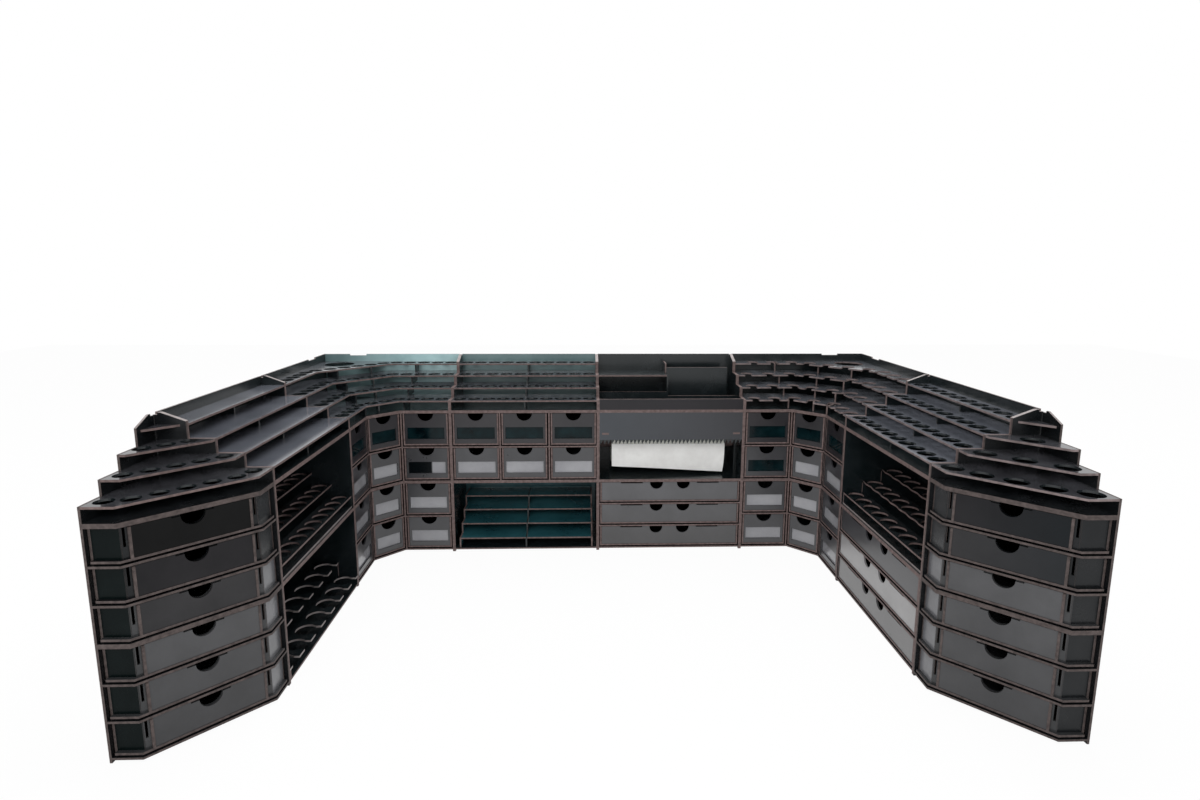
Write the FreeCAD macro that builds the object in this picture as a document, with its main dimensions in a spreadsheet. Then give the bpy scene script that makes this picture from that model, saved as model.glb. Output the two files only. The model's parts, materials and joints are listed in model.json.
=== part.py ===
import FreeCAD, Part
import Sketcher
import math
import os
import re

# Corner workstation for a hobby table: eight boxes of thin board set in a U around the user.
# From the left: end unit, straight unit, corner unit, two centre units, corner unit, straight unit, end unit.
# Every unit is two stacked boxes under a rack of four stepped tiers with a tall back wall.
# Origin: middle of the footprint, on the table. +X right, +Y away from the user, +Z up. Millimetres.

doc = FreeCAD.newDocument("HobbyWorkstation")

# ---------------------------------------------------------------- driving dimensions
size_rows = [
    ("board", 3, "thickness of every board"),
    ("unit_width", 300, "straight unit, side to side"),
    ("unit_depth", 150, "every unit, front to back"),
    ("unit_height", 147, "one box; two are stacked"),
    ("foot_height", 4, "side boards reach this far below the floor board"),
    ("foot_length", 14, "length of a foot"),
    ("corner_reach", 150, "front of a corner unit, measured along each wing"),
    ("corner_cut", 50, "leg of the facet across the inside corner"),
    ("end_flat", 40, "short front beside each wall of an end unit"),
    ("tier_rise", 20, "height from one tier to the next"),
    ("top_tier_depth", 39, "top tier, from its front to the back wall"),
    ("shelf_depth", 72, "depth of a tier shelf"),
    ("cheek_height", 4, "side board above the top tier, at its front"),
    ("cheek_flat", 4, "level end of the slope that climbs to the wall"),
    ("wall_rise", 16, "back wall above the top tier"),
    ("wall_notch_width", 36, "grip notch in the corner walls"),
    ("wall_notch_depth", 3, "its depth"),
    ("wall_notch_place", 75, "its middle, from the outer corner"),
    ("rear_notch_run", 6, "step at the rear top of a side board, length"),
    ("rear_notch_drop", 3, "and height"),
    ("rib_depth", 44, "ribs under the tiers, front to back"),
    ("rib_inset", 14, "rib behind the front edge of its tier"),
    ("rib_from_bend", 7, "first rib of a corner rack, beside the first bend"),
    ("hole_sides", 6, "sides of a bottle hole"),
    ("scoop_sides", 8, "sides of the round that cuts a finger notch"),
    ("bottle_count", 10, "bottle holes in a straight tier"),
    ("bottle_hole", 26, "bottle hole across"),
    ("jar_hole", 26, "jar notch across"),
    ("jar_mouth", 15, "its open front"),
    ("cup_hole", 60, "large hole in the outer corner"),
    ("cup_inset", 50, "its middle, from both outer walls"),
    ("brush_hole", 22, "holes of the left end unit"),
    ("brush_count", 7, "holes in its lowest tier, two fewer in the next"),
    ("tube_hole", 30, "holes of the right end unit"),
    ("tube_count", 5, "holes in its lowest tier, two fewer in each above"),
    ("end_corner_gap", 3, "open joint between the two rack walls of an end unit"),
    ("drawer_gap", 0.5, "play at each side of a drawer"),
    ("slide_gap", 0.3, "play under a drawer"),
    ("drawer_headroom", 0.5, "free height above a drawer"),
    ("drawer_lift", 2.2, "bottom of a drawer above the lower edges of its sides"),
    ("drawer_inset", 1, "drawer behind the shelf edges"),
    ("drawer_rear_gap", 5, "free depth behind a drawer"),
    ("front_inset", 0.8, "drawer front behind the edges of its sides"),
    ("notch_radius", 16, "finger notch of a small drawer"),
    ("notch_raise", 1, "its centre above the top edge"),
    ("grip_radius", 13.5, "finger notch of a wide drawer"),
    ("grip_drop", 1, "its centre below the top edge"),
    ("grip_spacing", 56, "between the two notches of a wide drawer"),
    ("reveal_length", 46, "shallow slot in the top edge of a front"),
    ("reveal_depth", 2.2, "its depth"),
    ("reveal_place", 79.5, "its middle, from the middle of a wide front"),
    ("pane_margin", 6, "front board beside the clear label pane"),
    ("pane_rise", 14.5, "label pane above the lower edges of the sides"),
    ("pane_height", 24.5, "label pane"),
    ("pane_thickness", 1.5, "label pane"),
    ("front_slot_width", 3, "slot beside an end front, open at the top"),
    ("front_slot_height", 24, "its height"),
    ("end_front_margin", 14, "bare backing board at each end of an end front"),
    ("flat_front_inset", 5, "side fronts of an end drawer behind the shelf edges"),
    ("bay_inset", 3, "rack in an open bay, behind the shelf edges"),
    ("bay_rise", 22, "step height of that rack"),
    ("bay_step", 34, "step depth of that rack"),
    ("bay_plate_depth", 38, "depth of its plates"),
    ("bay_hole", 26, "holes of its plates"),
    ("left_bay_count", 10, "holes in a plate of the left wing"),
    ("right_bay_count", 9, "holes in a plate of the right wing"),
    ("pot_rise", 26, "step height of the pot rack"),
    ("pot_first", 15, "height of its first plate"),
    ("pot_hole", 32, "pot notch across"),
    ("pot_mouth", 24, "open front of a pot notch"),
    ("pot_count", 7, "pot notches in a plate"),
    ("sheet_rise", 21, "spacing of the paper shelves"),
    ("sheet_front", 4, "lowest paper shelf behind the front"),
    ("sheet_step", 28, "setback from one paper shelf to the next"),
    ("sheet_margin", 8, "beside the paper shelves"),
    ("tray_lip", 22, "front board of the tool tray"),
    ("tray_inner_lip", 24, "low board across the tool tray"),
    ("bin_lip", 15, "low board across the deep bin"),
    ("bin_side", 12, "gap beside the rear board of the deep bin"),
    ("bin_back_height", 71, "rear board of the deep bin"),
    ("teeth_panel", 57, "front panel of the towel box, down to the teeth"),
    ("tooth_count", 38, "teeth of the tear edge"),
    ("tooth_depth", 9, "height of a tooth"),
    ("roll_radius", 52, "paper roll"),
    ("roll_length", 240, "paper roll"),
    ("core_radius", 20, "bore of the roll"),
    ("core_gap", 0.4, "play between the bore and the dowel"),
    ("roll_height", 66, "roll axis above the floor of its box"),
    ("roll_rear_gap", 7, "free depth behind the roll"),
    ("cradle_width", 60, "board that carries an end of the dowel"),
    ("sheet_gap", 0.6, "hanging paper in front of the roll"),
    ("sheet_thickness", 0.5, "hanging paper"),
    ("sheet_drop", 64, "hanging paper below the roll axis"),
]
sheet = doc.addObject("Spreadsheet::Sheet", "Sizes")
for row, (alias, value, note) in enumerate(size_rows, 1):
    sheet.set("A%d" % row, note)
    sheet.set("B%d" % row, str(value))
    sheet.setAlias("B%d" % row, alias)
doc.recompute()

# ---------------------------------------------------------------- derived places, as rules on those cells
front_line = "((corner_reach + unit_width) / 2)"          # front of the centre units
wing_line = "(unit_width + corner_reach)"                  # front of the wings, left and right
wing_top = f"({front_line} - corner_reach)"                # where a wing meets its corner unit
wing_foot = f"({wing_top} - unit_width)"                   # where a wing meets its end unit
box_top = "(foot_height + 2 * unit_height)"
rack_floor = f"({box_top} + board)"
facet = "(corner_reach - corner_cut)"                      # straight front of a corner unit
box_inside = "(unit_height - 2 * board)"
deep = "(unit_depth - board)"                              # front of the back wall
wall_top = f"({rack_floor} + 4 * tier_rise + wall_rise)"
drawer_depth = "(unit_depth - board - drawer_inset - drawer_rear_gap)"
tier_step = f"(({deep} - top_tier_depth) / 3)"             # setback from one tier to the next
roll_depth = f"({deep} - roll_radius - roll_rear_gap)"     # roll axis behind the front


def tier_top(tier):
    return f"({rack_floor} + {tier} * tier_rise)"


def setback(tier):
    return f"({tier - 1} * {tier_step})"


# ---------------------------------------------------------------- helpers
def rule(text):
    """Turns a rule written with plain size names into an expression on the sheet."""
    return re.sub(r"[a-z]+(_[a-z]+)+|\bboard\b", lambda word: "Sizes." + word.group(0), text)


def size(alias):
    return float(sheet.get(alias))


def place(item, x="0", y="0", z="0", angle=0):
    """Turns an object about Z and binds its place to the sheet."""
    turn = FreeCAD.Rotation(FreeCAD.Vector(0, 0, 1), angle)
    item.Placement = FreeCAD.Placement(FreeCAD.Vector(0, 0, 0), turn)
    for axis, text in zip("xyz", (x, y, z)):
        item.setExpression("Placement.Base." + axis, rule(text))
    return item


def box(name, sizes, at=("0", "0", "0"), angle=0):
    item = doc.addObject("Part::Box", name)
    for field, text in zip(("Length", "Width", "Height"), sizes):
        item.setExpression(field, rule(text))
    return place(item, *at, angle)


def group(name, parts, at=("0", "0", "0"), angle=0):
    item = doc.addObject("Part::Compound", name)
    item.Links = parts
    return place(item, *at, angle)


def cut(name, base, tools):
    item = doc.addObject("Part::Cut", name)
    item.Base = base
    item.Tool = tools[0] if len(tools) == 1 else group(name + "_tools", tools)
    return item


def cylinder(name, radius, length, at, turned):
    """A round bar or bore from its end point, along X or along Y as the rotation says."""
    item = doc.addObject("Part::Cylinder", name)
    item.setExpression("Radius", rule(radius))
    item.setExpression("Height", rule(length))
    item.Placement = FreeCAD.Placement(FreeCAD.Vector(0, 0, 0), turned)
    for axis, text in zip("xyz", at):
        item.setExpression("Placement.Base." + axis, rule(text))
    return item


def scoop(name, radius, at):
    """Tool for a finger notch in an upright front, from its middle just before the board."""
    item = doc.addObject("Part::Prism", name)
    item.setExpression("Polygon", rule("scoop_sides"))
    item.setExpression("Circumradius", rule(radius))
    item.setExpression("Height", rule("3 * board"))
    item.Placement = FreeCAD.Placement(FreeCAD.Vector(0, 0, 0), along_y)
    for axis, text in zip("xyz", at):
        item.setExpression("Placement.Base." + axis, rule(text))
    return item


along_x = FreeCAD.Rotation(FreeCAD.Vector(0, 1, 0), 90)
along_y = FreeCAD.Rotation(FreeCAD.Vector(1, 0, 0), -90)


def mirror(name, source):
    """The same thing on the other side of the middle of the workstation."""
    item = doc.addObject("Part::Mirroring", name)
    item.Source = source
    item.Normal = FreeCAD.Vector(1, 0, 0)
    item.Base = FreeCAD.Vector(0, 0, 0)
    return item


def sketch_in(body, plane, corners):
    """A closed outline whose corners are rules, on one of the body's own planes."""
    sketch = body.newObject("Sketcher::SketchObject", body.Name + "_outline")
    support = [item for item in body.Origin.OriginFeatures if item.Role == plane][0]
    sketch.AttachmentSupport = [(support, "")]
    sketch.MapMode = "FlatFace"
    count = len(corners)
    rough = []
    for step in range(count):
        turn = 2 * math.pi * step / count
        rough.append(FreeCAD.Vector(100 * math.cos(turn), 100 * math.sin(turn), 0))
    lines = [Part.LineSegment(rough[step], rough[(step + 1) % count]) for step in range(count)]
    sketch.addGeometry(lines, False)
    ties = [Sketcher.Constraint("Coincident", step, 2, (step + 1) % count, 1) for step in range(count)]
    for step, point in enumerate(rough):
        ties.append(Sketcher.Constraint("DistanceX", -1, 1, step, 1, point.x))
        ties.append(Sketcher.Constraint("DistanceY", -1, 1, step, 1, point.y))
    sketch.addConstraint(ties)
    for step, (x, y) in enumerate(corners):
        sketch.setExpression("Constraints[%d]" % (count + 2 * step), rule(x))
        sketch.setExpression("Constraints[%d]" % (count + 2 * step + 1), rule(y))
    return sketch


def plate(name, corners, thickness="board", plane="XY_Plane"):
    """A board cut to an outline: XY lies flat, YZ stands fore and aft, XZ stands across."""
    body = doc.addObject("PartDesign::Body", name)
    outline = sketch_in(body, plane, corners)
    pad = body.newObject("PartDesign::Pad", name + "_pad")
    pad.Profile = outline
    pad.setExpression("Length", rule(thickness))
    outline.Visibility = False
    return body


def hole(name, across, at, angle=0):
    """A many-sided hole as large as the round one, through a board whose underside is given."""
    item = doc.addObject("Part::Prism", name)
    item.setExpression("Polygon", rule("hole_sides"))
    item.setExpression("Circumradius", rule(f"{across} * sqrt(pi / 2 / hole_sides / sin(360deg / hole_sides))"))
    item.setExpression("Height", rule("3 * board"))
    x, y, z = at
    return place(item, x, y, f"{z} - board", angle + 180 / size("hole_sides"))


# ---------------------------------------------------------------- boards that every unit shares
def side_boards(name, depth, rack_depth):
    """Lower side with feet, upper side and stepped rack side, front at y 0, thickness along +X."""
    joint = "(foot_height + unit_height)"
    bevel = "(foot_length + foot_height)"
    lower = plate(name + "_lower", [
        ("0", "0"),
        ("foot_length", "0"),
        (bevel, "foot_height"),
        (f"{depth} - {bevel}", "foot_height"),
        (f"{depth} - foot_length", "0"),
        (depth, "0"),
        (depth, joint),
        ("0", joint),
    ], plane="YZ_Plane")
    upper = box(name + "_upper", ("board", depth, "unit_height"), ("0", "0", joint))
    rear = f"({rack_depth} - rear_notch_run)"
    rack = plate(name + "_rack", [
        ("0", box_top),
        (rack_depth, box_top),
        (rack_depth, f"{wall_top} - rear_notch_drop"),
        (rear, f"{wall_top} - rear_notch_drop"),
        (rear, wall_top),
        (f"{rear} - cheek_flat", wall_top),
        (setback(4), f"{tier_top(4)} + cheek_height"),
        (setback(4), tier_top(3)),
        (setback(3), tier_top(3)),
        (setback(3), tier_top(2)),
        (setback(2), tier_top(2)),
        (setback(2), tier_top(1)),
        ("0", tier_top(1)),
    ], plane="YZ_Plane")
    return group(name, [lower, upper, rack])


side = side_boards("side", "unit_depth", "unit_depth")
floor_levels = [
    "foot_height",
    "foot_height + unit_height - board",
    "foot_height + unit_height",
    f"{box_top} - board",
    box_top,
]
box_bases = ["foot_height", "(foot_height + unit_height)"]


def opening_height(rows):
    return f"((unit_height - {rows + 1} * board) / {rows})"


def opening_base(base, rows, row):
    """Floor of one of the openings of a box; row 0 is the lowest."""
    return f"({base} + board + {row} * ({opening_height(rows)} + board))"


# ---------------------------------------------------------------- straight units
span = "(unit_width - 2 * board)"
straight_parts = [side, group("side_far", [side], ("unit_width - board", "0", "0"))]
for number, level in enumerate(floor_levels):
    straight_parts.append(box("straight_floor_%d" % number, (span, "unit_depth", "board"), ("board", "0", level)))
for number, base in enumerate(box_bases):
    straight_parts.append(box("straight_back_%d" % number, (span, "board", box_inside),
                              ("board", deep, f"{base} + board")))
straight_parts.append(box("straight_wall", (span, "board", f"{wall_top} - {rack_floor}"),
                          ("board", deep, rack_floor)))
straight_shell = group("straight_shell", straight_parts)


def tier_depth(tier):
    return f"min(shelf_depth; {deep} - {setback(tier)})"


def straight_tier(name, tier):
    return box(name, (span, tier_depth(tier), "board"), ("board", setback(tier), f"{tier_top(tier)} - board"))


ribs = []
for tier in range(1, 5):
    room = f"min(rib_depth; {deep} - {setback(tier)} - rib_inset)"
    ribs.append(box("rib_%d" % tier, ("board", room, "tier_rise - board"),
                    ("(unit_width - board) / 2", f"{setback(tier)} + rib_inset", tier_top(tier - 1))))
straight_ribs = group("straight_ribs", ribs)

plain_tiers = group("plain_tiers", [straight_tier("plain_tier_%d" % tier, tier) for tier in range(1, 5)])

bottle_tiers = []
for tier in range(1, 5):
    holes = []
    count = int(size("bottle_count"))
    for number in range(count):
        across = f"board + ({number} + 0.5) * {span} / {count}"
        holes.append(hole("bottle_%d_%d" % (tier, number), "bottle_hole",
                          (across, f"{setback(tier)} + {tier_step} / 2", f"{tier_top(tier)} - board")))
    bottle_tiers.append(cut("bottle_tier_%d" % tier, straight_tier("bottle_shelf_%d" % tier, tier), holes))
straight_bottles = group("straight_bottles", bottle_tiers)


def level_shelves(name, base, rows, outline_box):
    """Shelves that divide a box into equal openings."""
    shelves = []
    for row in range(1, rows):
        shelves.append(outline_box(f"{name}_shelf_{row}", f"{opening_base(base, rows, row)} - board"))
    return shelves


def straight_shelf(name, level):
    return box(name, (span, deep, "board"), ("board", "0", level))


# ---------------------------------------------------------------- racks that stand in the open bays
def step_board(name, first, rise, step, count, rear, front="0"):
    """Stepped end board of a rack, standing fore and aft."""
    corners = [(front, "0"), (rear, "0")]
    for number in range(count, 0, -1):
        top = f"({first} + {number - 1} * {rise})"
        corners.append((rear if number == count else f"({front} + {number} * {step})", top))
        corners.append((f"({front} + {number - 1} * {step})", top))
    return plate(name, corners, plane="YZ_Plane")


def bay_rack(name, count_alias):
    """Three stepped plates with a row of holes each, on two end boards over a base board."""
    rack_depth = "(2 * bay_step + bay_plate_depth)"
    end = step_board(name + "_end", "(bay_rise - 2 * board)", "bay_rise", "bay_step", 3, rack_depth)
    pieces = [box(name + "_base", (span, rack_depth, "board"))]
    pieces.append(group(name + "_ends", [end, group(name + "_far_end", [end], (f"{span} - board", "0", "0"))],
                        ("0", "0", "board")))
    count = int(size(count_alias))
    for number in range(1, 4):
        front = f"({number - 1} * bay_step)"
        level = f"({number} * bay_rise - board)"
        blank = box(f"{name}_blank_{number}", (span, "bay_plate_depth", "board"), ("0", front, level))
        holes = []
        for step in range(count):
            holes.append(hole(f"{name}_hole_{number}_{step}", "bay_hole",
                              (f"{step + 0.5} * {span} / {count}", f"{front} + bay_step / 2", level)))
        pieces.append(cut(f"{name}_plate_{number}", blank, holes))
    return group(name, pieces, ("board", "bay_inset", "foot_height + unit_height + board"))


def open_notch(name, across, mouth):
    """Tool for a round hole that opens to the front edge; its middle is the origin."""
    radius = f"({across} / 2)"
    bend = f"((sqrt(2) - 1) * {radius})"
    shoulder = f"-({radius} + {bend} - {mouth} / 2)"
    return plate(name, [
        (f"-{mouth} / 2", f"-{across}"),
        (f"{mouth} / 2", f"-{across}"),
        (f"{mouth} / 2", shoulder),
        (radius, f"-{bend}"),
        (radius, bend),
        (bend, radius),
        (f"-{bend}", radius),
        (f"-{radius}", bend),
        (f"-{radius}", f"-{bend}"),
        (f"-{mouth} / 2", shoulder),
    ], "3 * board")


left_rack = bay_rack("left_rack", "left_bay_count")
right_rack = bay_rack("right_rack", "right_bay_count")

pot_notch = open_notch("pot_notch", "pot_hole", "pot_mouth")
pot_pieces = []
pot_end = step_board("pot_end", "(pot_first - board)", "pot_rise", "bay_step", 2, "(2 * bay_step + board)")
pot_pieces.append(pot_end)
pot_pieces.append(group("pot_far_end", [pot_end], (f"{span} - board", "0", "0")))
for number in range(2):
    plate_top = f"(pot_first + {number} * pot_rise)"
    front = f"({number} * bay_step)"
    notches = []
    count = int(size("pot_count"))
    for place_number in range(count):
        across = f"({place_number} + 0.5) * {span} / {count}"
        notches.append(group("pot_%d_%d" % (number, place_number), [pot_notch],
                             (across, f"{front} + bay_plate_depth / 2", f"{plate_top} - 2 * board")))
    blank = box("pot_plate_%d" % number, (span, "bay_plate_depth", "board"), ("0", front, f"{plate_top} - board"))
    pot_pieces.append(cut("pot_rack_plate_%d" % number, blank, notches))
pot_rack = group("pot_rack", pot_pieces, ("board", "0", "foot_height + board"))

sheet_rear = f"({deep} - sheet_margin)"
sheet_span = f"({span} - 2 * sheet_margin)"
sheet_end = step_board("sheet_end", "sheet_rise", "sheet_rise", "sheet_step", 4, sheet_rear, "sheet_front")
sheet_pieces = [sheet_end]
sheet_pieces.append(group("sheet_middle", [sheet_end], (f"({sheet_span} - board) / 2", "0", "0")))
sheet_pieces.append(group("sheet_far_end", [sheet_end], (f"{sheet_span} - board", "0", "0")))
half_shelf = f"(({sheet_span} - 3 * board) / 2)"
for number in range(4):
    front = f"(sheet_front + {number} * sheet_step)"
    for half in range(2):
        sheet_pieces.append(box(f"sheet_shelf_{number}_{half}", (half_shelf, f"{sheet_rear} - {front}", "board"),
                                (f"board + {half} * ({half_shelf} + board)", front,
                                 f"({number} + 1) * sheet_rise - board")))
sheet_rack = group("sheet_rack", sheet_pieces, ("board + sheet_margin", "0", "foot_height + board"))

# ---------------------------------------------------------------- the two wing units
lower_box, upper_box = box_bases
right_wing_place = (wing_line, wing_top, "0")
left_wing_place = (f"-{wing_line}", wing_foot, "0")
wing_shelves = level_shelves("wide", lower_box, 3, straight_shelf)
right_wing = group("right_wing_case", [straight_shell, straight_ribs, right_rack] + wing_shelves,
                   right_wing_place, -90)
left_wing = group("left_wing_case", [straight_shell, straight_ribs, plain_tiers, left_rack, pot_rack],
                  left_wing_place, 90)

# ---------------------------------------------------------------- the two centre units
partitions = []
for row in range(2):
    for column in range(1, 3):
        at = (f"{column} * unit_width / 3 - board / 2", "0", opening_base(upper_box, 2, row))
        partitions.append(box(f"partition_{row}_{column}", ("board", deep, opening_height(2)), at))
centre_left = group("centre_left_case", [straight_shell, straight_ribs, sheet_rack] + partitions
                    + level_shelves("chest", upper_box, 2, straight_shelf), ("-unit_width", front_line, "0"))

# Tool tray on top of the right centre unit.
tray = [box("tray_front", (span, "board", "tray_lip"), ("board", "0", rack_floor))]
tray.append(plate("tray_divider", [
    (setback(3), rack_floor),
    (deep, rack_floor),
    (deep, tier_top(4)),
    (setback(4), tier_top(4)),
    (setback(4), tier_top(3)),
    (setback(3), tier_top(3)),
], plane="YZ_Plane"))
place(tray[-1], "(unit_width - board) / 2")
half_span = "((unit_width - 3 * board) / 2)"
other_half = "((unit_width + board) / 2)"
tray.append(box("tray_shelf", (half_span, f"{deep} - {setback(3)}", "board"),
                ("board", setback(3), f"{tier_top(3)} - board")))
tray.append(box("tray_inner_front", (half_span, "board", "tray_inner_lip"), ("board", setback(3), rack_floor)))
tray.append(box("bin_front", (half_span, "board", "bin_lip"), (other_half, setback(3), rack_floor)))
tray.append(box("bin_back", (f"{half_span} - bin_side", "board", "bin_back_height"),
                (other_half, setback(4), rack_floor)))

# Towel box: a panel with a saw-tooth tear edge, and a dowel in two cradles that carries the roll.
panel_foot = f"({box_top} - board - teeth_panel)"
tooth_pitch = f"({span} / tooth_count)"
panel = plate("tear_panel", [
    ("board", panel_foot),
    ("unit_width - board", panel_foot),
    ("unit_width - board", f"{box_top} - board"),
    ("board", f"{box_top} - board"),
], plane="XZ_Plane")
tooth_outline = sketch_in(panel, "XZ_Plane", [
    (f"board + {tooth_pitch} * 0.05", f"{panel_foot} + 1"),
    (f"board + {tooth_pitch} * 0.05", panel_foot),
    (f"board + {tooth_pitch} * 0.3", f"{panel_foot} - tooth_depth"),
    (f"board + {tooth_pitch} * 0.95", panel_foot),
    (f"board + {tooth_pitch} * 0.95", f"{panel_foot} + 1"),
])
tooth = panel.newObject("PartDesign::Pad", "tooth")
tooth.Profile = tooth_outline
tooth.setExpression("Length", rule("board"))
teeth = panel.newObject("PartDesign::LinearPattern", "teeth")
teeth.Originals = [tooth]
across_axis = [item for item in panel.Origin.OriginFeatures if item.Role == "X_Axis"][0]
teeth.Direction = (across_axis, [""])
teeth.setExpression("Length", rule(f"{tooth_pitch} * (tooth_count - 1)"))
teeth.setExpression("Occurrences", rule("tooth_count"))
panel.Tip = teeth
place(panel, "0", "board")

towel_floor = f"({upper_box} + board)"
roll_level = f"({towel_floor} + roll_height)"
dowel_radius = "(core_radius - core_gap)"
seat = f"({roll_level} - sqrt(2) * {dowel_radius})"
half_cradle = "(cradle_width / 2)"
mouth = f"({roll_level} - {seat})"
cradle = place(plate("cradle", [
    (f"{roll_depth} - {half_cradle}", towel_floor),
    (f"{roll_depth} + {half_cradle}", towel_floor),
    (f"{roll_depth} + {half_cradle}", roll_level),
    (f"{roll_depth} + {mouth}", roll_level),
    (roll_depth, seat),
    (f"{roll_depth} - {mouth}", roll_level),
    (f"{roll_depth} - {half_cradle}", roll_level),
], plane="YZ_Plane"), "board")
dowel = cylinder("dowel", dowel_radius, span, ("board", roll_depth, roll_level), along_x)
far_cradle = group("far_cradle", [cradle], ("unit_width - 3 * board", "0", "0"))
centre_right = group("centre_right_case",
                     [straight_shell, panel, cradle, far_cradle, dowel] + tray + wing_shelves,
                     ("0", front_line, "0"))

roll_outer = cylinder("roll_outer", "roll_radius", "roll_length",
                      ("(unit_width - roll_length) / 2", f"{front_line} + {roll_depth}", roll_level), along_x)
roll_bore = cylinder("roll_bore", "core_radius", "unit_width",
                     ("0", f"{front_line} + {roll_depth}", roll_level), along_x)
paper_roll = cut("paper_roll", roll_outer, [roll_bore])
paper_sheet = box("paper_sheet", ("roll_length", "sheet_thickness", "sheet_drop"),
                  ("(unit_width - roll_length) / 2",
                   f"{front_line} + {roll_depth} - roll_radius - sheet_gap - sheet_thickness",
                   f"{roll_level} - sheet_drop"))

# ---------------------------------------------------------------- corner units
# Drawn for the right corner with its inner front corner at the origin: +X to the outer wall, +Y to the back.
bend_run = "(sqrt(2) - 1)"
outer = f"(corner_reach + unit_depth)"


def corner_front(offset):
    """The faceted front, moved back by an offset, from the centre unit round to the wing."""
    return [
        ("board", offset),
        (f"{facet} + {bend_run} * {offset}", offset),
        (f"corner_reach + {offset}", f"{bend_run} * {offset} - corner_cut"),
        (f"corner_reach + {offset}", "board - corner_reach"),
    ]


def corner_plate(name, level, front, rear):
    """Flat board between two offsets of the front; without a rear offset it fills the corner."""
    edge = corner_front(front)
    if rear is None:
        inner_wall = f"({outer} - board)"
        back = [(inner_wall, "board - corner_reach"), (inner_wall, deep), ("board", deep)]
    else:
        back = corner_front(rear)[::-1]
    return place(plate(name, edge + back), "0", "0", level)


corner_side = group("corner_side", [side], ("corner_reach", "board - corner_reach", "0"), -90)
corner_parts = [side, corner_side]
for number, level in enumerate(floor_levels):
    floor = plate("corner_floor_%d" % number, corner_front("0") + [
        (outer, "board - corner_reach"),
        (outer, "unit_depth"),
        ("board", "unit_depth"),
    ])
    corner_parts.append(place(floor, "0", "0", level))
for number, base in enumerate(box_bases):
    corner_parts.append(box("corner_back_%d" % number, (f"{outer} - board", "board", box_inside),
                            ("board", deep, f"{base} + board")))
    corner_parts.append(box("corner_outer_%d" % number,
                            ("board", "corner_reach + unit_depth - 2 * board", box_inside),
                            (f"{outer} - board", "board - corner_reach", f"{base} + board")))
for number, base in enumerate(box_bases):
    for row in range(2):
        floor = opening_base(base, 2, row)
        if row:
            corner_parts.append(corner_plate("corner_shelf_%d" % number, f"{floor} - board", "0", None))
        corner_parts.append(box(f"corner_partition_{number}_{row}_1", ("board", deep, opening_height(2)),
                                (f"{facet} - board", "0", floor)))
        corner_parts.append(box(f"corner_partition_{number}_{row}_2", (deep, "board", opening_height(2)),
                                ("corner_reach", "-corner_cut - board", floor)))

# Rack walls with a grip notch each.
wall_height = f"({wall_top} - {rack_floor})"


def notched_wall(name, length, notch_middle):
    """Wall across X, its top edge notched for a hand."""
    near = f"({notch_middle} - wall_notch_width / 2)"
    far = f"({notch_middle} + wall_notch_width / 2)"
    return plate(name, [
        ("0", "0"),
        (length, "0"),
        (length, wall_height),
        (far, wall_height),
        (far, f"{wall_height} - wall_notch_depth"),
        (near, f"{wall_height} - wall_notch_depth"),
        (near, wall_height),
        ("0", wall_height),
    ], plane="XZ_Plane")


back_wall = notched_wall("corner_back_wall", f"{outer} - board", f"({outer} - board - wall_notch_place)")
corner_parts.append(place(back_wall, "board", "unit_depth", rack_floor))
outer_length = "(corner_reach + unit_depth - 2 * board)"
outer_wall = notched_wall("corner_outer_wall", outer_length, f"({outer_length} + board - wall_notch_place)")
corner_parts.append(place(outer_wall, f"{outer} - board", "board - corner_reach", rack_floor, 90))

# Three ribs under each tier, fanned from square to the back wall to square to the middle facet.
lean = "tan(22.5deg)"
for tier in range(1, 5):
    back = setback(tier)
    starts = [
        (f"{facet} - rib_from_bend", f"{back} + rib_inset", 0),
        (f"(corner_reach + {facet}) / 2 + rib_inset / sqrt(2) + {back} * {lean}",
         f"rib_inset / sqrt(2) - corner_cut / 2 + {back}", -22.5),
        (f"corner_reach + {back} / sqrt(2)", f"{back} / sqrt(2) - corner_cut", -45),
    ]
    for number, (x, y, turn) in enumerate(starts):
        room = f"min(rib_depth; {deep} - {back} - rib_inset)" if number == 0 else "rib_depth"
        corner_parts.append(box(f"corner_rib_{tier}_{number}", ("board", room, "tier_rise - board"),
                                (x, y, tier_top(tier - 1)), turn))
corner_shell = group("corner_shell", corner_parts, ("unit_width", front_line, "0"))
right_corner = group("right_corner_case", [corner_shell])
left_corner = mirror("left_corner_case", corner_shell)


def along_front(offset, now, count, margin):
    """Evenly spaced points along the faceted line at an offset (also given as a number), and their turns."""
    first = f"({facet} + {bend_run} * {offset} - board)"
    slant = f"(corner_cut + {offset} * (1 - {bend_run}))"
    whole = f"(2 * {first} + sqrt(2) * {slant})"
    lean_now = math.sqrt(2) - 1
    first_now = size("corner_reach") - size("corner_cut") + lean_now * now - size("board")
    slant_now = math.sqrt(2) * (size("corner_cut") + now * (1 - lean_now))
    pace_now = (2 * first_now + slant_now - 2 * margin) / (count - 1)
    points = []
    for step in range(count):
        run_now = margin + step * pace_now
        run = f"({margin} + {step} * ({whole} - {2 * margin}) / {count - 1})"
        if run_now < first_now:
            points.append((f"board + {run}", offset, 0))
        elif run_now < first_now + slant_now:
            points.append((f"board + {first} + ({run} - {first}) / sqrt(2)",
                           f"{offset} - ({run} - {first}) / sqrt(2)", -45))
        else:
            points.append((f"corner_reach + {offset}", f"board - corner_reach + {whole} - {run}", -90))
    return points


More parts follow.
